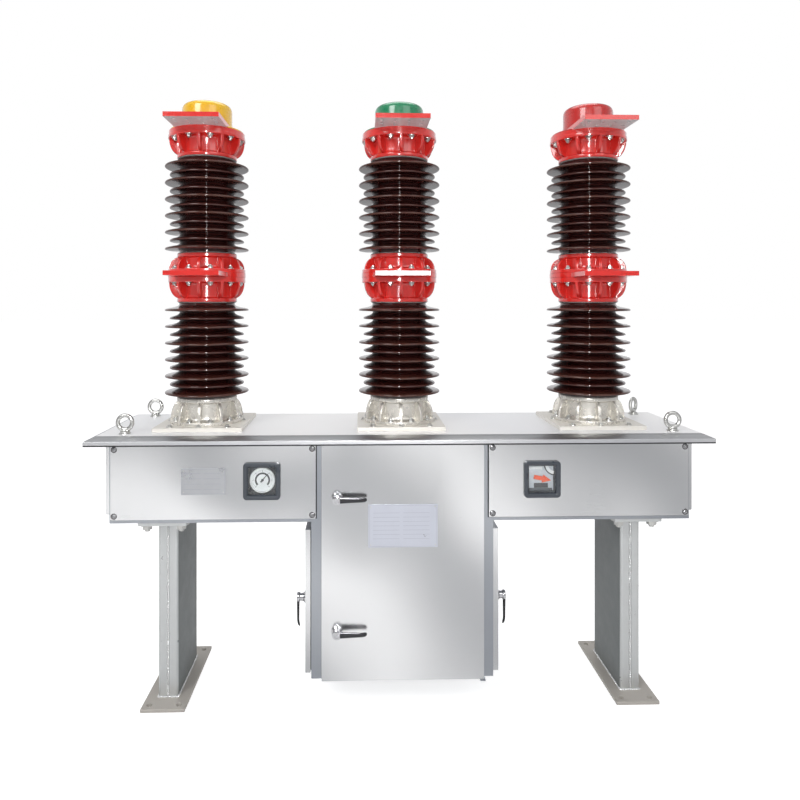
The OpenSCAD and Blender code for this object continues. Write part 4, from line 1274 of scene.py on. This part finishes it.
def stage():
    """A pale floor, soft lamps and a white surround."""
    scene = bpy.context.scene
    scene.view_settings.view_transform = "Standard"
    floor = loose(box_mesh((-40, -40, -0.02), (40, 40, 0)))
    floor.name = "floor"
    pale = bpy.data.materials.new("floor_white")
    pale.use_nodes = True
    nodes, links = pale.node_tree.nodes, pale.node_tree.links
    nodes.clear()
    seen = nodes.new("ShaderNodeLightPath")
    diffuse = nodes.new("ShaderNodeBsdfDiffuse")
    diffuse.inputs["Color"].default_value = (0.80, 0.80, 0.80, 1)
    glow = nodes.new("ShaderNodeEmission")
    glow.inputs["Color"].default_value = (1, 1, 1, 1)
    share = nodes.new("ShaderNodeMath")
    share.operation = "MAXIMUM"
    mirrored = nodes.new("ShaderNodeMath")
    mirrored.operation = "MULTIPLY"
    mirrored.inputs[1].default_value = 0.06
    strength = nodes.new("ShaderNodeMath")
    strength.operation = "MULTIPLY_ADD"
    strength.inputs[1].default_value = 0.64
    both = nodes.new("ShaderNodeAddShader")
    out = nodes.new("ShaderNodeOutputMaterial")
    links.new(seen.outputs["Is Camera Ray"], share.inputs[0])
    links.new(seen.outputs["Is Transmission Ray"], share.inputs[1])
    links.new(share.outputs[0], strength.inputs[0])
    links.new(seen.outputs["Is Glossy Ray"], mirrored.inputs[0])
    links.new(mirrored.outputs[0], strength.inputs[2])
    links.new(strength.outputs[0], glow.inputs["Strength"])
    links.new(diffuse.outputs[0], both.inputs[0])
    links.new(glow.outputs[0], both.inputs[1])
    links.new(both.outputs[0], out.inputs["Surface"])
    floor.data.materials.append(pale)

    world = bpy.data.worlds.new("studio")
    scene.world = world
    world.use_nodes = True
    nodes, links = world.node_tree.nodes, world.node_tree.links
    nodes.clear()
    seen = nodes.new("ShaderNodeLightPath")
    where = nodes.new("ShaderNodeTexCoord")
    split = nodes.new("ShaderNodeSeparateXYZ")
    links.new(where.outputs["Generated"], split.inputs[0])

    def sweep(side_weight, stops):
        """A grey that changes with height, and a little from side to side."""
        slope = nodes.new("ShaderNodeMath")
        slope.operation = "MULTIPLY_ADD"
        slope.inputs[1].default_value = side_weight
        links.new(split.outputs["X"], slope.inputs[0])
        links.new(split.outputs["Z"], slope.inputs[2])
        shift = nodes.new("ShaderNodeMapRange")
        shift.inputs["From Min"].default_value = -1
        links.new(slope.outputs[0], shift.inputs["Value"])
        ramp = nodes.new("ShaderNodeValToRGB")
        band = ramp.color_ramp
        while len(band.elements) < len(stops):
            band.elements.new(0.5)
        for element, (position, value) in zip(band.elements, stops):
            element.position = position
            element.color = (value, value, value * 1.02, 1)
        links.new(shift.outputs[0], ramp.inputs[0])
        return ramp.outputs[0]

    front = sweep(0.35, [(0.0, 0.50), (0.42, 0.50), (0.50, 0.28), (0.60, 0.45), (0.75, 0.62), (1.0, 0.55)])
    back = sweep(0.0, [(0.0, 0.9), (0.5, 1.0), (0.64, 1.0), (0.84, 0.40), (0.94, 0.45), (1.0, 0.55)])
    turn = nodes.new("ShaderNodeMapRange")
    turn.inputs["From Min"].default_value = -0.2
    turn.inputs["From Max"].default_value = 0.35
    links.new(split.outputs["Y"], turn.inputs["Value"])
    ramp = nodes.new("ShaderNodeMix")
    ramp.data_type = "RGBA"
    for identifier, output in (("Factor_Float", turn.outputs[0]), ("A_Color", front), ("B_Color", back)):
        links.new(output, next(socket for socket in ramp.inputs if socket.identifier == identifier))
    soft_color = next(socket for socket in ramp.outputs if socket.identifier == "Result_Color")
    soft = nodes.new("ShaderNodeBackground")
    links.new(soft_color, soft.inputs["Color"])
    soft.inputs["Strength"].default_value = 0.9
    white = nodes.new("ShaderNodeBackground")
    white.inputs["Color"].default_value = (1, 1, 1, 1)
    share = nodes.new("ShaderNodeMath")
    share.operation = "MAXIMUM"
    links.new(seen.outputs["Is Camera Ray"], share.inputs[0])
    links.new(seen.outputs["Is Transmission Ray"], share.inputs[1])
    mix = nodes.new("ShaderNodeMixShader")
    links.new(share.outputs[0], mix.inputs[0])
    links.new(soft.outputs[0], mix.inputs[1])
    links.new(white.outputs[0], mix.inputs[2])
    links.new(mix.outputs[0], nodes.new("ShaderNodeOutputWorld").inputs["Surface"])

    def lamp(name, place, aim, size, power):
        light = bpy.data.lights.new(name, "AREA")
        light.shape = "RECTANGLE"
        light.size, light.size_y = size
        light.energy = power
        item = bpy.data.objects.new(name, light)
        scene.collection.objects.link(item)
        item.location = place
        item.rotation_euler = (Vector(aim) - Vector(place)).to_track_quat("-Z", "Y").to_euler()
        return item

    lamp("key_lamp", (-3.2, -4.2, 4.6), (0, 0, 1.0), (2.4, 2.4), 150)
    lamp("fill_lamp", (3.2, -5.0, 4.6), (0, 0, 1.2), (3.6, 3.0), 60)
    lamp("top_lamp", (0, 0.6, 5.2), (0, 0, 0.9), (4.0, 2.4), 70)
    lamp("front_lamp", (-0.1, -3.2, 1.9), (0, 0, 1.5), (0.16, 0.22), 20)
    strip = lamp("strip_lamp", (-0.12, -3.2, 1.9), (-0.12, 0, 1.9), (0.12, 1.5), 60)
    strip.visible_diffuse = False


def camera():
    lens = bpy.data.cameras.new("camera")
    eye = bpy.data.objects.new("camera", lens)
    bpy.context.scene.collection.objects.link(eye)
    bpy.context.scene.camera = eye
    lens.sensor_width = 36
    lens.lens = 29.0
    lens.shift_x = 0.027
    lens.shift_y = -0.125
    eye.location = (-0.14, -2.40, 1.398)
    eye.rotation_euler = (math.radians(90), 0, math.radians(-1.5))


insulators()
castings()
joint_rings()
terminals()
caps()
pole_plates()
sheet_parts()
panel_screws()
roof_edge()
lifting_eyes()
doors()
door_seals()
handles()
nameplate("door_nameplate", "front_door", 2, 7)
nameplate("panel_nameplate", "frame", 2, 4, SILVER)
windows()
legs()
stage()
camera()
